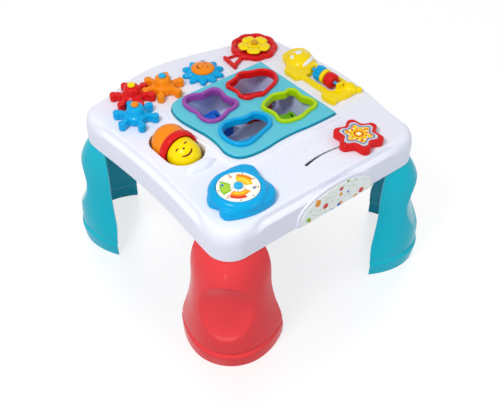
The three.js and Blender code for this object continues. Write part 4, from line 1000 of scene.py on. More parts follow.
def rim_mesh(corner):
    high = TABLE_HEIGHT + PANEL_HEIGHT
    low = high + PANEL_LOW
    crest = high + RIM_HEIGHT
    sleeve = high - RIM_SLEEVE_DEPTH
    inner = RIM_WIDTH - RIM_SLEEVE
    section = soften([
        (inner, low), (0, low), (0, crest), (RIM_WIDTH, crest), (RIM_WIDTH, sleeve), (inner, sleeve),
        (inner, low),
    ], [0, 0.5, 3.2, 3.2, 0.6, 0.6, 0], 6)
    return swept(lambda depth: hole_outline(corner, depth), section, (False, False), 60)


def block_mesh(corner):
    """A shape block: a lip round its top, a sunk face and a round knob."""
    low, high = heights(f"block_{corner}")
    top = low + BLOCK_HEIGHT
    sunk = top - BLOCK_SINK
    x, y = HOLES[corner][2:4]
    edge = RIM_WIDTH + BLOCK_CLEARANCE
    form = Form()
    form.sweep(lambda depth: hole_outline(corner, edge + depth),
               soften([(0.6, low), (0, low), (0, top), (3.4, top), (3.8, sunk), (7, sunk)],
                      [0, 0.6, 1.6, 1, 0.8, 0], 4))
    form.turn(soften([(0, sunk - 0.5), (BLOCK_KNOB, sunk - 0.5), (BLOCK_KNOB, high - 1), (0, high)],
                     [0, 0, 4, 0], 6), x, y, 40)
    return form.mesh(45)


def bin_mesh():
    low, high = heights("sorter_bin")
    section = soften([(-2, low), (-2, high), (0, high), (0, low + BIN_FLOOR), (8, low + BIN_FLOOR)],
                     [0, 0.8, 0.8, 5, 0])
    return swept(lambda depth: bin_outline(-depth), section)


for corner, (rim_look, block_look, *_) in HOLES.items():
    show(f"rounded_rim_{corner}", rim_mesh(corner), f"{rim_look}_plastic", "sorter_panel", [f"rim_{corner}"])
    show(f"shape_block_{corner}", block_mesh(corner), f"{block_look}_plastic", f"block_{corner}",
         [f"block_{corner}"])

SHADE_PAINT_SLOPE = 0.5  # faces of the panel that stand steeper than this get a darker teal, painted shade on the panel's side
panel = show("moulded_panel", panel_mesh(), "panel_plastic", "sorter_panel", ["sorter_panel"])
panel.data.materials.append(finish["panel_side_painted_shade"])
for face in panel.data.polygons:
    face.material_index = int(face.normal.z < SHADE_PAINT_SLOPE)
show("moulded_bin", bin_mesh(), "grey_plastic", "root", ["sorter_bin"])


# Gears: six fat paddles round a stepped hub, fused into one soft moulding
GEAR_TEETH = 6
GEAR_STEP = 360 / GEAR_TEETH
GEAR_REACH = 38
GEAR_ROOT = 16.5
HEAD_RADIUS = 6.6
TOOTH_NECK = 4.3  # half the width of a tooth's neck
GEAR_LOW, GEAR_TOP, GEAR_HUB_TOP = 257, 270, 285
GEAR_HUB = [
    (0, GEAR_LOW + 1), (19.5, GEAR_LOW + 1), (19.5, GEAR_TOP - 1), (15.6, GEAR_TOP + 2), (13.6, 279.5),
    (11.8, GEAR_HUB_TOP - 1), (0, GEAR_HUB_TOP),
]
NUB_REACH, NUB_RADIUS, NUB_RISE = 24, 3.6, 2
GEAR_VOXEL = 0.6
RED_GEAR_TURN = 22
CAP_LOOKS = {"red": "yellow", "blue": "orange", "orange": "sky"}


def gear_outline(depth):
    middle = GEAR_REACH - HEAD_RADIUS
    meet = math.degrees(math.asin(TOOTH_NECK / HEAD_RADIUS))
    foot = math.degrees(math.asin(TOOTH_NECK / GEAR_ROOT))
    head = arc(middle, 0, HEAD_RADIUS, meet - 180, 180 - meet, 20)
    valley = arc(0, 0, GEAR_ROOT, foot, GEAR_STEP - foot, 6)
    paddle = head + valley
    return inset([p for tooth in range(GEAR_TEETH) for p in turned_by(paddle, tooth * GEAR_STEP)], depth)


def gear_mesh():
    form = Form()
    form.sweep(gear_outline, soften([(0.6, GEAR_LOW), (0, GEAR_LOW), (0, GEAR_TOP), (3.2, GEAR_TOP)],
                                    [0, 0.6, 3.2, 0], 6))
    form.turn(soften(GEAR_HUB, [0, 0, 2, 2, 2, 2.6, 0], 4))
    nub = soften([(0, GEAR_LOW + 2), (NUB_RADIUS, GEAR_LOW + 2), (NUB_RADIUS, GEAR_TOP + NUB_RISE - 0.4),
                  (0, GEAR_TOP + NUB_RISE)], [0, 0, 1.8, 0], 4)
    for tooth in range(GEAR_TEETH):
        place = turned_by([at(NUB_REACH, 0)], GEAR_STEP * tooth)[0]
        form.turn(nub, place.x, place.y, 24)
    return form.fused(GEAR_VOXEL, 6)


def gear_turns():
    """Each gear's turn in degrees, from the red gear's own turn and where its neighbours stand."""
    red = centre("red_gear_cap")
    turns = {"red": RED_GEAR_TURN}
    for name in ("blue", "orange"):
        away = centre(f"{name}_gear_cap") - red
        bearing = math.degrees(math.atan2(away.y, away.x))
        turns[name] = 2 * bearing - RED_GEAR_TURN + 180 + 180 / GEAR_TEETH
    return turns


CAP_STEM = 0.7  # radius of a cap's lower part, as a share of its own
CAP_FLAT = 0.62
CAP_THICKNESS = 4


def cap_mesh(node):
    """A small round cap with a soft edge, over the space that its node takes."""
    low, high, middle, radius = space(node)
    stem = radius * CAP_STEM
    under = high - CAP_THICKNESS
    return turned(soften([(0, low), (stem, low), (stem, under), (radius, under), (radius, high - 0.8),
                          (radius * CAP_FLAT, high), (0, high)],
                         [0, 0, 0, 0.3, 1.6, 1.6, 0], 4), middle, 48)


def place_gears():
    base = gear_mesh()
    for name, turn in gear_turns().items():
        data = base.copy()
        place = centre(f"{name}_gear_cap") * MM
        spin = Matrix.Rotation(math.radians(turn), 4, "Z")
        data.transform(Matrix.Translation((place.x, place.y, 0)) @ spin)
        body = f"{name}_gear"
        show(f"paddle_gear_{name}", data, f"{name}_plastic", body, [body])
        show(f"gear_button_{name}", cap_mesh(f"{name}_gear_cap"), f"{CAP_LOOKS[name]}_plastic", body,
             [f"{name}_gear_cap"])


place_gears()


# Sun: a ribbed cone with blunt drooping rays, and a domed disc with a face
SUN_RAYS = 10
SUN_TURN = 18  # degrees
SUN_REACH = 37.5
SUN_VALLEY = 26.5
SUN_SEAT = 20.8
SUN_TIP = 4.2  # thickness of a ray's tip
SUN_RIB = 1.9
SUN_RIB_SPAN = 1.15
RAY_POWER, CONE_POWER = 0.8, 0.85
SUN_EDGE_RINGS = ((0.06, SUN_TIP), (0, SUN_TIP - 0.8), (0, 1.4), (0.02, 0.5))  # share drawn in, and drop
SUN_LEVELS = 12
SUN_SIDES = 200
SUN_EDGE = 2.4
SUN_FACE_TURN = -15  # degrees, where the face's top points
SUN_DOME_SHARE = 0.93
FACE_LOOK = "black_plastic"


def sun_ring(share, low, high):
    """One ring of the wheel's upper side, from the rays' tips at zero to the disc's seat at one."""
    place = centre("sun_face")
    found = []
    for i in range(SUN_SIDES):
        angle = TAU * i / SUN_SIDES
        lobe = (1 + math.cos(SUN_RAYS * (angle - math.radians(SUN_TURN)))) / 2
        outer = SUN_VALLEY + (SUN_REACH - SUN_VALLEY) * lobe ** RAY_POWER
        radius = outer + (SUN_SEAT - outer) * share
        rib = SUN_RIB * (lobe - 0.5) * math.sin(math.pi * min(share * SUN_RIB_SPAN, 1))
        height = low + SUN_TIP + (high - low - SUN_TIP) * share ** CONE_POWER + rib
        x, y = place.x + radius * math.cos(angle), place.y + radius * math.sin(angle)
        found.append(Vector((x, y, height)))
    return found


def sun_wheel():
    low, high = heights("sun_wheel")
    form = Form()
    rim = sun_ring(0, low, high)
    place = centre("sun_face")
    rings = []
    for pull, drop in SUN_EDGE_RINGS:
        rings.append(form.ring([
            Vector((p.x + (place.x - p.x) * pull, p.y + (place.y - p.y) * pull, p.z - drop)) for p in rim
        ]))
    for i in range(SUN_LEVELS + 1):
        rings.append(form.ring(sun_ring(0.05 + 0.95 * i / SUN_LEVELS, low, high)))
    form.bands(rings, (True, True))
    return form.mesh(60)


def sun_dome(radius, low, high, outer):
    return low + SUN_EDGE + (high - low - SUN_EDGE) * (1 - (radius / outer) ** 2)


def sun_disc():
    low, high, middle, outer = space("sun_face")
    reach = [outer * SUN_DOME_SHARE * math.cos(QUARTER * k / 10) for k in range(11)]
    rim = soften([(0, low), (outer, low), (outer, low + SUN_EDGE), (outer * 0.95, low + SUN_EDGE + 0.3),
                  (outer * 0.94, low + SUN_EDGE - 0.2)], [0, 0.4, 1, 0.4, 0], 4)
    return turned(rim + [(radius, sun_dome(radius, low, high, outer)) for radius in reach], middle, 72)


# Faces: drawn lines that lie on a dome
def bent(half, rise, right=0, up=0, count=15):
    """A bow drawn from left to right, whose middle stands higher than its ends by the rise."""
    found = []
    for i in range(count):
        share = 2 * i / (count - 1) - 1
        found.append((right + half * share, up + rise * (1 - share * share)))
    return found


def dot(right, up, half):
    return [(right - half, up), (right, up), (right + half, up)]


def face_piece(surface, marks):
    """Strokes laid on a face. Each mark is a thickness and its points, as (right, up) on the face."""
    form = Form()
    for thickness, mark in marks:
        stroke(form, [surface(*p) for p in mark], thickness)
    return form.mesh(70)


SUN_MARKS = [
    (0.8, bent(2.4, 1.3, -6, 5.6)), (0.8, bent(2.4, 1.3, 6, 5.6)), (1.1, dot(0, 1, 1.2)),
    (1.25, bent(6, -3.2, 0, -6.6)), (0.55, bent(1.4, 0.5, -6.6, -6)), (0.55, bent(1.4, 0.5, 6.6, -6)),
]
SUN_MARK_SINK = 0.25


def sun_point(right, up):
    low, high, middle, outer = space("sun_face")
    place = turned_by([at(right, up)], SUN_FACE_TURN - 90)[0]
    height = sun_dome(place.length, low, high, outer) - SUN_MARK_SINK
    return Vector((middle.x + place.x, middle.y + place.y, height))


show("ribbed_sun_wheel", sun_wheel(), "blue_plastic", "sun", ["sun_wheel"])
show("sun_disc", sun_disc(), "orange_plastic", "sun", ["sun_face"])
show("sun_smile", face_piece(sun_point, SUN_MARKS), FACE_LOOK, "sun")


# Roller: hood, band and face, drawn about Z and laid along Y
ROLLER_AXIS = 252
BAND_FRONT = 4
BAND_LENGTH = 14
BAND_RADIUS = 32.5
HOOD_RADIUS = 30
HOOD_LENGTH = 42
HOOD_STRAIGHT = 14.7
FACE_RADIUS = 25.5
FACE_FLAT = 10.5
SEAT_GAP = 0.3
ROLLER_SIDES = 96
FACE_MIDDLE = (61.6, -38.2)  # the nose: degrees above level, and from the front toward +X
FACE_TILT = 44  # degrees, how far the face's top leans to the left, seen from outside
MARK_SINK = 0.35
ROLLER_MARKS = [
    (1.4, bent(3.1, 1.6, -9, 4.8)), (1.4, bent(3.1, 1.6, 9, 4.8)), (2.1, dot(0, 0, 2.2)),
    (1.5, bent(11.5, -5.4, 0, -6.6)),
]


def roller_mesh(profile):
    form = Form()
    form.turn(profile, 0, 0, ROLLER_SIDES)
    return form.laid_along_y((ROLLER_X, BAND_FRONT, ROLLER_AXIS), 40)


def roller_hood():
    start = BAND_LENGTH + SEAT_GAP
    dome = HOOD_LENGTH - HOOD_STRAIGHT
    profile = [(0, start), (HOOD_RADIUS, start), (HOOD_RADIUS, start + HOOD_STRAIGHT)]
    for k in range(1, 21):
        angle = QUARTER * k / 20
        profile.append((HOOD_RADIUS * math.cos(angle), start + HOOD_STRAIGHT + dome * math.sin(angle)))
    return roller_mesh(profile)


def roller_band():
    """A rolled ring that stands proud of the hood, with a rounded lip toward the face."""
    side = BAND_RADIUS - HOOD_RADIUS
    return roller_mesh(soften([
        (0, 3), (FACE_RADIUS + 1, 3), (FACE_RADIUS + 1.8, 0), (BAND_RADIUS - side, 0), (BAND_RADIUS, side),
        (BAND_RADIUS, BAND_LENGTH - side), (BAND_RADIUS - side, BAND_LENGTH), (0, BAND_LENGTH),
    ], [0, 1, 1.4, 2.4, 3.4, 3.4, 1.6, 0], 6))


def roller_face():
    profile = [(0, -SEAT_GAP), (FACE_RADIUS, -SEAT_GAP)]
    for k in range(25):
        angle = QUARTER * k / 24
        out, down = FACE_RADIUS * math.cos(angle), FACE_RADIUS * math.sin(angle)
        profile.append((out, -SEAT_GAP - FACE_FLAT - down))
    return roller_mesh(profile)


def roller_point(right, up):
    """A point of the round face, laid out from the nose in millimetres along its surface."""
    above, aside = (math.radians(degrees) for degrees in FACE_MIDDLE)
    out = Vector((math.cos(above) * math.sin(aside), -math.cos(above) * math.cos(aside), math.sin(above)))
    level = Vector((0, 0, 1)).cross(out).normalized()
    rise = out.cross(level)
    tilt = Matrix.Rotation(math.radians(FACE_TILT), 3, out)
    away = tilt @ (level * right + rise * up)
    angle = away.length / FACE_RADIUS
    toward = out * math.cos(angle) + away.normalized() * math.sin(angle)
    middle = Vector((ROLLER_X, BAND_FRONT - SEAT_GAP - FACE_FLAT, ROLLER_AXIS))
    return middle + toward * (FACE_RADIUS - MARK_SINK)


show("rounded_hood", roller_hood(), "orange_plastic", "roller", ["roller_hood"])
show("rolled_band", roller_band(), "red_plastic", "roller", ["roller_band"])
show("round_face", roller_face(), "yellow_plastic", "roller", ["roller_face"])
show("roller_smile", face_piece(roller_point, ROLLER_MARKS), FACE_LOOK, "roller")


# Tree frame: a scalloped crown with a raised border round a sunk face, and an open trunk
CROWN_X, CROWN_Y = 142, 157
CROWN_RADIUS = 42.5
CROWN_SCALLOP = 3
CROWN_SCALLOPS = 9
SCALLOP_ROUNDING = 0.02
CROWN_SINK = 4.6
TRUNK = [  # each bar's ends, its half width and how far it stays below the bars' top
    (((80, 162), (76, 127.5)), 3.4, 0),
    (((77.5, 131), (108, 146)), 3.6, 0),
    (((78.5, 159), (108, 156)), 2, 1),
]
TOY_LOW = 256.3  # where the frames and the music box stand on the flat face
TREE_TOP = 265
BAR_TOP = 262.5


def crown_radius(angle):
    wave = math.sqrt(math.cos(angle * CROWN_SCALLOPS / 2) ** 2 + SCALLOP_ROUNDING)
    return CROWN_RADIUS - CROWN_SCALLOP + CROWN_SCALLOP * wave


def crown_outline(depth):
    return polar(180, lambda angle: crown_radius(angle) - depth, CROWN_X, CROWN_Y)


def bar_outline(first, last, half):
    """A bar with round ends between two points of the plan."""
    along = math.degrees(math.atan2(last.y - first.y, last.x - first.x))
    return (arc(last.x, last.y, half, along - 90, along + 90, 10)
            + arc(first.x, first.y, half, along + 90, along + 270, 10))


def tree_mesh():
    face = TREE_TOP - CROWN_SINK
    form = Form()
    form.sweep(crown_outline, soften([
        (0.4, TOY_LOW), (0, TOY_LOW), (0, TREE_TOP), (8.6, TREE_TOP), (9.6, face), (20, face),
    ], [0, 0.4, 3.6, 3, 1.6, 0], 6))
    for (first, last), half, drop in TRUNK:
        high = BAR_TOP - drop
        form.sweep(lambda depth: bar_outline(at(*first), at(*last), half - depth),
                   soften([(0, TOY_LOW), (0, high), (half * 0.7, high)], [0, half * 0.6, 0], 4))
    return form.fused(0.8, 4)


PETALS = 5
PETAL_TURN = 12  # degrees
PETAL_REACH, PETAL_ASIDE = 19.6, 3.1  # each petal is two eggs side by side
EGG_RADIUS = 9.2
EGG_SHARE = 0.98


def petal_mesh():
    """Five puffy petals that swell out from a small middle, each with a light crease down its length."""
    low, high = heights("flower_spinner")
    place = centre("flower_cap")
    half = (high - low) / 2
    egg = [(EGG_RADIUS * math.cos(t), (low + high) / 2 - half * math.sin(t) * EGG_SHARE)
           for t in (math.pi * (k / 12 - 0.5) for k in range(13))]
    form = Form()
    for petal in range(PETALS):
        for side in (-1, 1):
            spot = turned_by([at(PETAL_REACH, side * PETAL_ASIDE)], 360 / PETALS * petal + PETAL_TURN)[0]
            form.turn(egg, place.x + spot.x, place.y + spot.y, 32)
    form.turn([(0, low + 0.5), (11, low + 0.5), (11, high - 2), (7, high - 1.4), (0, high - 1.4)],
              place.x, place.y, 40)
    return form.fused(0.7, 5)


show("raised_tree_frame", tree_mesh(), "red_plastic", "root", ["tree_frame"])
show("puffy_flower", petal_mesh(), "yellow_plastic", "flower", ["flower_spinner"])
show("flower_middle", cap_mesh("flower_cap"), "amber_plastic", "flower", ["flower_cap"])


# Animal frame: a stepped plate with a window, a domed head with pale inlays, a rump and two lugs
ANIMAL_X, ANIMAL_Y = 168.5, 20
ANIMAL_HALF_X, ANIMAL_HALF_Y = 37.5, 84
ANIMAL_TOP = 265
WINDOW_HALF_X, WINDOW_HALF_Y = 16.5, 31
WINDOW_CORNER = 4
HEAD = (176, 69)
HEAD_HALF = (26.5, 27.5)
HEAD_TOP = 277
RUMP = (184, -46)
RUMP_HALF = (13, 15)
RUMP_TOP = 272
DOME_LOW = TOY_LOW + 1
DOME_STEPS = 14
DOME_TIP = 1e-3  # the share of its size that a dome's last ring keeps
LUG_HALF, LUG_HALF_LENGTH, LUG_TOP = 6, 2.9, 275.5
LUG_CORNER = 1.6
ANIMAL_SHARES = [
    (-0.22, 0.94), (-0.4, 0.78), (-0.6, 0.62), (-0.94, 0.5), (-0.97, 0.32), (-0.94, 0.13), (-0.7, 0.1),
    (-0.68, -0.2), (-0.7, -0.53), (-0.97, -0.64), (-0.99, -0.82), (-0.9, -0.97), (-0.55, -0.94),
    (0.13, -0.97), (0.43, -0.92), (0.74, -1), (0.82, -0.92), (0.57, -0.8), (0.65, -0.55), (0.6, 0.1),
    (0.6, 0.34), (0.8, 0.48), (0.98, 0.72), (0.9, 0.9), (0.45, 1),
]


def dome(form, middle, half, top):
    rings = []
    for k in range(DOME_STEPS + 1):
        angle = QUARTER * k / DOME_STEPS
        share = max(math.cos(angle), DOME_TIP)
        rings.append(form.ring([at(middle[0] + p.x * half[0] * share, middle[1] + p.y * half[1] * share)
                                for p in circle(1)], DOME_LOW + (top - DOME_LOW) * math.sin(angle)))
    form.bands(rings, (True, True))


def animal_outline(depth):
    plan = from_shares(ANIMAL_SHARES, ANIMAL_X, ANIMAL_Y, ANIMAL_HALF_X, ANIMAL_HALF_Y)
    return inset(counter_clockwise(smooth(plan, 6)), depth)


def window_outline(depth):
    middle = centre("bead_axle")
    return rounded_box(middle.x, middle.y, WINDOW_HALF_X + depth, WINDOW_HALF_Y + depth,
                       WINDOW_CORNER + depth, 6)


def lug_outline(side, depth):
    middle = centre("bead_axle")
    return rounded_box(middle.x, middle.y + side * (WINDOW_HALF_Y + LUG_HALF_LENGTH), LUG_HALF - depth,
                       LUG_HALF_LENGTH - depth, LUG_CORNER, 4)


def animal_mesh():
    form = Form()
    side = soften([(0, TOY_LOW), (0, ANIMAL_TOP), (2.6, ANIMAL_TOP)], [0, 2.2, 0], 4)
    outer = form.sweep(animal_outline, side, (False, False))
    hollow = [(0, TOY_LOW), (0, ANIMAL_TOP - 1), (0.9, ANIMAL_TOP)]
    inner = form.sweep(window_outline, hollow, (False, False))
    form.fill(outer[-1], [inner[-1]])
    form.fill(outer[0], [inner[0]])
    dome(form, HEAD, HEAD_HALF, HEAD_TOP)
    dome(form, RUMP, RUMP_HALF, RUMP_TOP)
    for side in (-1, 1):
        form.sweep(lambda depth: lug_outline(side, depth),
                   soften([(0, TOY_LOW + 2), (0, LUG_TOP), (1.4, LUG_TOP)], [0, 1.4, 0], 4))
    return form.fused(0.8, 3)


INLAY_RINGS = 7
INLAY_TIP = 0.02  # the share of its size that an inlay's last ring keeps
INLAY_LIFT, INLAY_SINK = 0.5, 0.3
INLAYS = [  # middle, half sizes and turn in degrees
    ((176, 75), (8.2, 6.2), 40), ((160.5, 74), (5, 2.8), 60), ((188.5, 83), (3.6, 2.6), 10),
    ((190.5, 72), (2.8, 2.4), 0),
]
HEAD_SMILE = [(163.5, 48.6), (170, 48.2), (177, 49), (184, 51.2), (190, 54.8), (194.5, 59.5)]
SMILE_RADIUS, SMILE_SINK = 3.6, 1.6


def head_level(p):
    """The height of the head's dome over a point of the plan."""
    away = abs((p.x - HEAD[0]) / HEAD_HALF[0]) ** 2 + abs((p.y - HEAD[1]) / HEAD_HALF[1]) ** 2
    return DOME_LOW + (HEAD_TOP - DOME_LOW) * math.sqrt(max(1 - away, 0))


def inlay(form, middle, half, turn):
    """A pale patch that follows the head's dome and stands a little proud of it."""
    rings = []
    for k in range(INLAY_RINGS):
        share = 1 - k / (INLAY_RINGS - 1)
        oval = [at(p.x * half[0], p.y * half[1]) for p in circle(max(share, INLAY_TIP), count=40)]
        plan = turned_by(oval, turn, *middle)
        rise = INLAY_LIFT * (1 - share ** 6) - INLAY_SINK * share ** 6
        rings.append(form.ring([Vector((p.x, p.y, head_level(p) + rise)) for p in plan]))
    form.bands(rings, (False, True))


def head_patches():
    form = Form()
    for middle, half, turn in INLAYS:
        inlay(form, middle, half, turn)
    line = smooth([at(*p) for p in HEAD_SMILE], 6, False)
    points = [Vector((p.x, p.y, max(head_level(p), ANIMAL_TOP) - SMILE_SINK)) for p in line]
    stroke(form, points, SMILE_RADIUS, 12)
    return form.mesh(60)


show("stepped_animal_frame", animal_mesh(), "yellow_plastic", "root", ["animal_frame"])
show("head_patches", head_patches(), "white_plastic", "root")


# Beads and their axle
BEAD_TOOTH = 1.5
BEAD_END_SHARE = 0.72  # how far in the last ring of each flat end lies, as a share of the radius
BEADS = {  # look, share of the radius that is rounded, and teeth
    "blue_toothed_bead": ("blue", 0.25, 8),
    "yellow_thin_bead": ("yellow", 0.24, 0),
    "red_round_bead": ("red", 0.48, 0),
}


def along_y(node):
    """The middle, radius and half length of a node that lies along Y."""
    low, high = node_box(node)
    return (low + high) / 2, (high.z - low.z) / 2, (high.y - low.y) / 2


def bead_mesh(node, round_share, teeth):
    middle, radius, half = along_y(node)
    tooth = BEAD_TOOTH if teeth else 0
    turn = radius * round_share
    inward = radius * BEAD_END_SHARE
    form = Form()
    form.sweep(lambda depth: polar(160, lambda angle: radius - depth - tooth
                                   + tooth * math.tanh(3 * math.cos(teeth * angle))),
               soften([(inward, -half), (0, -half), (0, half), (inward, half)], [0, turn, turn, 0], 8))
    return form.laid_along_y(middle, 50)


def axle_mesh():
    middle, radius, half = along_y("bead_axle")
    profile = soften([(0, -half), (radius, -half), (radius, half), (0, half)], [0, 0.8, 0.8, 0], 4)
    form = Form()
    form.turn(profile, 0, 0, 32)
    return form.laid_along_y(middle, 50)


for node, (look, round_share, teeth) in BEADS.items():
    show(f"smooth_{node}", bead_mesh(node, round_share, teeth), f"{look}_plastic", f"{look}_bead", [node])
show("round_bead_axle", axle_mesh(), "sky_plastic", "root", ["bead_axle"])


# Printed plates: flat patterns made of rings, bands and dots round a middle
PRINT_ROUGHNESS = 0.28
DOT_SCATTER = 0.8
WHITE = (255, 255, 255)


class Print(Nodes):
    """A printed plastic, with the distance from a middle in millimetres and the angle round it."""

    def __init__(self, name, middle, base):
        super().__init__(bpy.data.materials.new(name))
        middle = Vector((middle.x, middle.y, 0)) * MM
        spot = self.add("ShaderNodeVectorMath", [self.place(), middle], operation="SUBTRACT")
        split = self.add("ShaderNodeSeparateXYZ", [spot.outputs[0]])
        x, y = (self.math("MULTIPLY", split.outputs[k], 1 / MM) for k in (0, 1))
        self.radius = self.math("SQRT", self.squares(x, y))
        self.angle = self.math("ARCTAN2", y, x)
        self.base = base
        self.feed_all(self.shader, {
            "Roughness": PRINT_ROUGHNESS,
            "IOR": GLASSY_IOR,
            "Specular IOR Level": SPECULAR_LEVEL,
            "Coat Weight": COAT_WEIGHT,
        })
        self.bump(self.noise(PEEL_SCALE, 1), PEEL_STRENGTH)

    def both(self, first, second):
        return self.math("MULTIPLY", first, second)

    def between(self, value, low, high):
        """One where a value lies between two limits, and zero elsewhere."""
        return self.both(self.math("GREATER_THAN", value, low), self.math("LESS_THAN", value, high))

    def ring(self, low, high):
        return self.between(self.radius, low, high)

    def disc(self, radius):
        return self.math("LESS_THAN", self.radius, radius)

    def turn_from(self, degrees):
        """The angle counted from a direction, from minus half to half a turn."""
        shifted = self.math("ADD", self.math("DIVIDE", self.angle, TAU), 0.5 - degrees / 360)
        return self.math("SUBTRACT", self.math("FRACT", shifted), 0.5)

    def band(self, low, high, degrees, spread):
        """A curved band between two radii, round a direction, by a spread to each side."""
        near = self.between(self.turn_from(degrees), -spread / 360, spread / 360)
        return self.both(self.ring(low, high), near)

    def dots(self, count, distance, size, degrees):
        """A ring of equal dots."""
        cell = self.math("MULTIPLY", self.turn_from(degrees), count)
        offset = self.math("SUBTRACT", self.math("FRACT", self.math("ADD", cell, count + 0.5)), 0.5)
        aside = self.math("MULTIPLY", offset, TAU * distance / count)
        along = self.math("SUBTRACT", self.radius, distance)
        return self.math("LESS_THAN", self.squares(aside, along), size * size)

    def scattered(self, scale, size, keep, seed):
        """Round dots, one in some cells of a scattered pattern."""
        shift = self.add("ShaderNodeVectorMath", [self.place(), (1, 0, 1), (seed, 0, seed)],
                         operation="MULTIPLY_ADD")
        given = {"Vector": shift.outputs[0], "Scale": scale, "Randomness": DOT_SCATTER}
        cells = self.add("ShaderNodeTexVoronoi", given)
        split = self.add("ShaderNodeSeparateColor", [cells.outputs["Color"]])
        return self.both(self.math("LESS_THAN", cells.outputs["Distance"], size),
                         self.math("LESS_THAN", split.outputs[0], keep))

    def painted(self, layers):
        """The finished print. Each layer is where it lies and its colour."""
        colour = linear(*self.base)
        for mask, rgb in layers:
            colour = self.mix(mask, colour, linear(*rgb))
        self.feed(self.shader.inputs["Base Color"], colour)
        return self.owner


# Star knob: a red rim round a plate with a pinwheel print
STAR_REACH, STAR_VALLEY = 39, 29.5
STAR_POINTS = 6
STAR_TURN = 5
STAR_TIP_SPREAD, STAR_VALLEY_SPREAD = 7, 3  # degrees to each side
STAR_CLEARANCE = 0.8  # above the flat face
STAR_PLATE_SHARE = 0.76
PLATE_SINK = 0.6
BLADE_INWARD = 5.4  # from the star's middle toward the slot's pivot
BLADE_HALF, BLADE_LENGTH = 1.2, 8
BLADE_FOOT = 3.2  # below the flat face, where the shoe holds it
PRINTED_REACH = 3.1  # how far the printed star's points stand out and its valleys in
PINWHEEL_BLADES = 9
PINWHEEL_TWIST = 0.42  # radians in each millimetre outward


def star_place():
    """The middle that the star's outline is drawn round."""
    low, high = node_box("star_knob")
    return at((low.x + high.x) / 2, (low.y + high.y) / 2)


def star_outline(share, depth):
    place = star_place()
    step = 360 / STAR_POINTS
    found = []
    for i in range(STAR_POINTS):
        tip = STAR_TURN + i * step
        found += arc(0, 0, STAR_REACH * share, tip - STAR_TIP_SPREAD, tip + STAR_TIP_SPREAD, 1)
        valley = tip + step / 2
        found += arc(0, 0, STAR_VALLEY * share, valley - STAR_VALLEY_SPREAD, valley + STAR_VALLEY_SPREAD, 1)
    return inset([p + place for p in even(smooth(found, 10), 240)], depth)


def blade_outline(depth):
    """A thin blade that stands along the slot and holds the star in its shoe."""
    away = star_place() - at(*SLOT_PIVOT)
    middle = star_place() - away.normalized() * BLADE_INWARD
    half = BLADE_HALF - depth
    blade = rounded_box(0, 0, half, BLADE_LENGTH / 2 - depth, half - 0.1, 4)
    return turned_by(blade, math.degrees(math.atan2(away.y, away.x)), middle.x, middle.y)


def star_mesh():
    high = heights("star_knob")[1]
    low = TABLE_HEIGHT + STAR_CLEARANCE
    form = Form()
    form.sweep(lambda depth: star_outline(1, depth), soften([
        (1.2, low), (0, low), (0, high), (6.4, high), (7, high - 1.1), (10, high - 1.1),
    ], [0, 1.2, 3.2, 1.6, 0.6, 0], 6))
    form.sweep(blade_outline, [(0, TABLE_HEIGHT - BLADE_FOOT), (0, low + 0.5)])
    return form.mesh()


def star_plate():
    low, high = heights("star_picture")
    return swept(lambda depth: star_outline(STAR_PLATE_SHARE, depth),
                 soften([(0, low), (0, high - PLATE_SINK), (2, high - PLATE_SINK)], [0, 0.4, 0], 3))


def star_print():
    made = Print("star_print", star_place(), (206, 212, 224))
    turn = made.math("SUBTRACT", made.angle, math.radians(STAR_TURN))
    wave = made.math("COSINE", made.math("MULTIPLY", turn, STAR_POINTS))
    starry = made.math("SUBTRACT", made.radius, made.math("MULTIPLY", wave, PRINTED_REACH))
    blades = made.math("SINE", made.math("ADD", made.math("MULTIPLY", made.angle, PINWHEEL_BLADES),
                                         made.math("MULTIPLY", made.radius, PINWHEEL_TWIST)))
    inner = made.math("LESS_THAN", starry, 19.5)
    yellow = (250, 214, 20)
    return made.painted([
        (made.between(starry, 20.6, 22.6), (50, 84, 150)),
        (inner, yellow),
        (made.both(inner, made.math("GREATER_THAN", blades, 0.25)), (244, 128, 20)),
        (made.disc(10.5), yellow),
        (made.ring(5.6, 8.2), (226, 60, 34)),
        (made.disc(3), WHITE),
        (made.dots(12, 15, 1.3, 20), WHITE),
    ])


show("rounded_star", star_mesh(), "red_plastic", "star", ["star_knob"])
show("star_plate", star_plate(), "printed_plastic", "star", ["star_picture"], star_print())


# Music box: a lobed housing with a raised ring round its press disc
MUSIC_X, MUSIC_Y = -123, -137
MUSIC_HALF_X, MUSIC_HALF_Y = 51, 47.5
MUSIC_TOP = 278
DECK_HIGH = 271.4
DISC_RADIUS = 32
DISC_THICKNESS = 2.6
DISC_RECESS = 4  # below the deck, under the disc
POCKET_RADIUS, POCKET_DEPTH = 9, 10  # the spring's hollow below the deck
SPRING_WIRE = 0.55
SPRING_TURNS = 6
SPRING_STEPS = 20  # points in each turn
MUSIC_SHARES = [
    (-0.72, 0.6), (-0.42, 0.83), (-0.06, 0.96), (0.38, 1), (0.77, 0.89), (0.98, 0.6), (0.94, 0.28),
    (0.86, -0.03), (0.88, -0.34), (0.84, -0.66), (0.6, -0.92), (0.2, -1), (-0.3, -0.95), (-0.74, -0.78),
    (-0.97, -0.6), (-0.98, -0.38), (-0.88, -0.15), (-0.98, 0.12), (-0.92, 0.36),
]
DISC_BANDS = [  # two radii, a direction, the spread to each side, and a colour
    (12, 27, 150, 34, (140, 198, 40)), (14, 25, 150, 26, (176, 216, 60)), (10, 22, 20, 44, (250, 200, 20)),
    (22, 27, 28, 30, (244, 140, 20)), (11, 20, 245, 50, (250, 160, 20)), (20, 26, 232, 30, (232, 70, 40)),
    (13, 16, 245, 40, (255, 214, 40)), (15, 18, 20, 34, (255, 228, 90)),
]
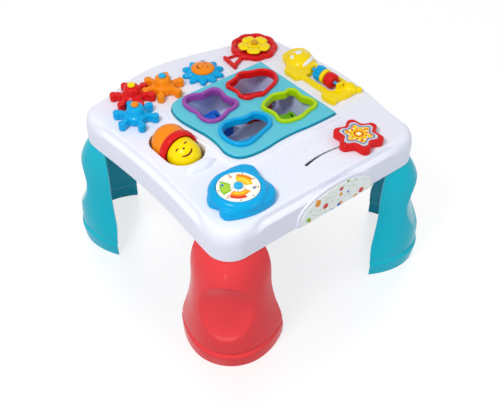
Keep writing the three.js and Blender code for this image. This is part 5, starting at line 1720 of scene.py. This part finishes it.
DISC_DOTS = [  # count, distance, size, a direction, and a colour
    (9, 29, 1.2, 0, (90, 60, 50)), (3, 24, 2.6, 80, (230, 100, 60)), (3, 24, 1.3, 80, (255, 245, 220)),
    (2, 23, 2.4, 315, (70, 130, 200)), (5, 9.5, 0.9, 12, (120, 80, 60)),
]


def music_outline(depth):
    coarse = smooth(from_shares(MUSIC_SHARES, MUSIC_X, MUSIC_Y, MUSIC_HALF_X, MUSIC_HALF_Y), 10)
    return smooth(inset(counter_clockwise(even(coarse, 56)), depth), 4)


def ring_outline(radius):
    place = centre("music_disc")
    return circle(radius, place.x, place.y, 96)


def music_mesh():
    form = Form()
    deck = form.sweep(music_outline, soften([
        (0, TOY_LOW), (0, 262), (2.4, DECK_HIGH - 1), (8, DECK_HIGH), (9, DECK_HIGH),
    ], [0, 4, 5, 0, 0]), (True, False))
    edge = DISC_RADIUS + 0.6
    sunk = DECK_HIGH - DISC_RECESS
    hollow = [(edge + 6, DECK_HIGH), (edge + 6, sunk), (POCKET_RADIUS, sunk),
              (POCKET_RADIUS, DECK_HIGH - POCKET_DEPTH)]
    form.fill(deck[-1], [form.sweep(ring_outline, hollow, (False, True))[0]])
    ring = soften([(edge, sunk - 1), (edge, MUSIC_TOP), (edge + 7, MUSIC_TOP), (edge + 12, DECK_HIGH),
                   (edge + 12, sunk - 1), (edge, sunk - 1)], [0, 2.2, 5, 3, 0, 0], 6)
    form.sweep(ring_outline, ring, (False, False))
    return form.fused(0.8, 5)


def disc_mesh():
    high, middle = space("music_disc")[1:3]
    low = high - DISC_THICKNESS
    return turned(soften([(0, low), (DISC_RADIUS, low), (DISC_RADIUS, high), (0, high)], [0, 0, 0.7, 0], 4),
                  middle, 96)


def disc_print():
    made = Print("disc_print", centre("music_disc"), (253, 250, 236))
    layers = [(made.band(*spot), rgb) for *spot, rgb in DISC_BANDS]
    return made.painted(layers + [(made.dots(*spot), rgb) for *spot, rgb in DISC_DOTS])


def hub_mesh():
    low, high, middle, radius = space("disc_hub")
    return turned(soften([(0, low), (radius, low), (radius, high - 2), (radius * 0.5, high), (0, high)],
                         [0, 0.3, 2, 2, 0]), middle, 48)


def coil_spring():
    """The return spring, wound over the space that its node takes."""
    low, high, middle, outer = space("return_spring")
    radius = outer - SPRING_WIRE
    count = SPRING_TURNS * SPRING_STEPS
    points = []
    for i in range(count + 1):
        turn = turned_by([at(radius, 0)], 360 * i / SPRING_STEPS, middle.x, middle.y)[0]
        rise = (high - low - 2 * SPRING_WIRE) * i / count
        points.append(Vector((turn.x, turn.y, low + SPRING_WIRE + rise)))
    form = Form()
    stroke(form, points, SPRING_WIRE)
    made = show("coil_spring", form.mesh(60), "steel", "root", ["return_spring"])
    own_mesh(made)


coil_spring()
show("lobed_music_housing", music_mesh(), "blue_plastic", "root", ["music_housing"])
show("press_disc", disc_mesh(), "printed_plastic", "music_button", ["music_disc"], disc_print())
show("disc_button", hub_mesh(), "sky_plastic", "music_button", ["disc_hub"])


# Plate on the front, with a print of small scattered dots
PLATE_ROUNDING = 0.35
CONFETTI = [  # scale, size, share of the cells that hold a dot, and a colour
    (260, 0.34, 0.6, (190, 222, 172)), (170, 0.3, 0.5, (248, 252, 246)),
    (64, 0.33, 0.4, (40, 120, 210)), (64, 0.33, 0.4, (225, 60, 60)),
    (64, 0.33, 0.4, (245, 160, 40)), (64, 0.33, 0.4, (120, 190, 60)),
]


def plate_mesh():
    low, high = node_box("nameplate")
    front = -TABLE_HALF - low.y
    form = Form()
    arched_body(form, [(0, -TABLE_HALF - high.y), (0, front - PLATE_ROUNDING), (-0.4, front), (-2, front)])
    return form.mesh()


def confetti():
    made = Print("confetti_print", Vector((0, 0, 0)), (252, 255, 248))
    layers = [(made.scattered(*spot, seed), rgb) for seed, (*spot, rgb) in enumerate(CONFETTI, 1)]
    return made.painted(layers)


show("front_plate", plate_mesh(), "printed_plastic", "root", ["nameplate"], confetti())

# Pieces that keep the frame's own shape
PLAIN_PIECES = {
    "white_plastic": ["underside_cover", "battery_door"],
    "grey_plastic": ["slider_shoe"],
    "black_plastic": ["loudspeaker"],
    "board_green": ["circuit_board"],
    "steel": ["roller_axle", "battery_cell_1", "battery_cell_2", "battery_cell_3"]
    + [f"leg_screw_{corner}" for corner in LEGS] + [f"{name}_gear_screw" for name in CAP_LOOKS]
    + ["sun_screw", "flower_screw"],
}
for slot, names in PLAIN_PIECES.items():
    for name in names:
        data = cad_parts[name].data
        data.materials.clear()
        data.materials.append(finish[slot])


# Floor, light and background
FLOOR_HALF = 6000
FLOOR_DROP = 0.3
LAMPS = {  # place, width, power and colour
    "key": ((-900, -250, 1500), 420, 12.8, (1, 1, 1)),
    "fill": ((500, -1400, 800), 900, 3.6, (0.96, 0.98, 1)),
    "low": ((-1300, -1060, 330), 170, 1.1, (1, 1, 1)),
}
LAMP_TARGET = (0, 0, 200)
WORLD_COLOUR = (0.94, 0.96, 1, 1)
WORLD_STRENGTH = 0.52
FLOOR_COLOUR = (0.52, 0.54, 0.62, 1)
FLOOR_ROUGHNESS = 0.9
PAPER_GREY = 0.24
PAPER_GLOW = 0.87
SHEEN_ROUGHNESS = 0.3
SHEEN_SHARE = 0.15


def seen_directly(nodes):
    """One for rays from the camera, and for those that a mirror or clear plastic sends on."""
    path = nodes.add("ShaderNodeLightPath").outputs
    sent_on = nodes.math("MAXIMUM", path["Is Glossy Ray"], path["Is Transmission Ray"])
    return nodes.math("MAXIMUM", path["Is Camera Ray"], sent_on)


def background():
    world = bpy.data.worlds.new("world")
    bpy.context.scene.world = world
    nodes = Nodes(world)
    light = nodes.tree.nodes["Background"]
    nodes.feed_all(light, [WORLD_COLOUR, WORLD_STRENGTH])
    white = nodes.add("ShaderNodeBackground", [grey(1), 1])
    both = nodes.mix_shaders(seen_directly(nodes), light, white)
    nodes.feed_all(nodes.tree.nodes["World Output"], [both.outputs[0]])


def floor_material():
    """White paper that the camera sees almost white, with the soft shadow left on it."""
    nodes = Nodes(bpy.data.materials.new("floor"))
    nodes.feed_all(nodes.shader, {"Base Color": FLOOR_COLOUR, "Roughness": FLOOR_ROUGHNESS})
    paper = nodes.add("ShaderNodeBsdfDiffuse", {"Color": grey(PAPER_GREY)})
    glow = nodes.add("ShaderNodeEmission", {"Strength": PAPER_GLOW})
    seen = nodes.add("ShaderNodeAddShader", [paper.outputs[0], glow.outputs[0]])
    sheen = nodes.add("ShaderNodeBsdfGlossy", {"Roughness": SHEEN_ROUGHNESS})
    polished = nodes.mix_shaders(SHEEN_SHARE, seen, sheen)
    both = nodes.mix_shaders(seen_directly(nodes), nodes.shader, polished)
    nodes.feed_all(nodes.tree.nodes["Material Output"], [both.outputs[0]])
    return nodes.owner


def floor():
    form = Form()
    corners = ((-1, -1), (1, -1), (1, 1), (-1, 1))
    form.cap(form.ring(from_shares(corners, 0, 0, FLOOR_HALF, FLOOR_HALF)))
    made = add_object("floor", form.mesh())
    made.location.z = -FLOOR_DROP * MM
    made.data.materials.append(floor_material())


def lamps():
    for name, (place, size, power, colour) in LAMPS.items():
        data = bpy.data.lights.new(name, "AREA")
        data.shape = "DISK"
        data.size = size * MM
        data.energy = power
        data.color = colour
        aim(add_object(name, data), place, LAMP_TARGET)


background()
floor()
lamps()
bpy.context.scene.view_settings.view_transform = "Standard"
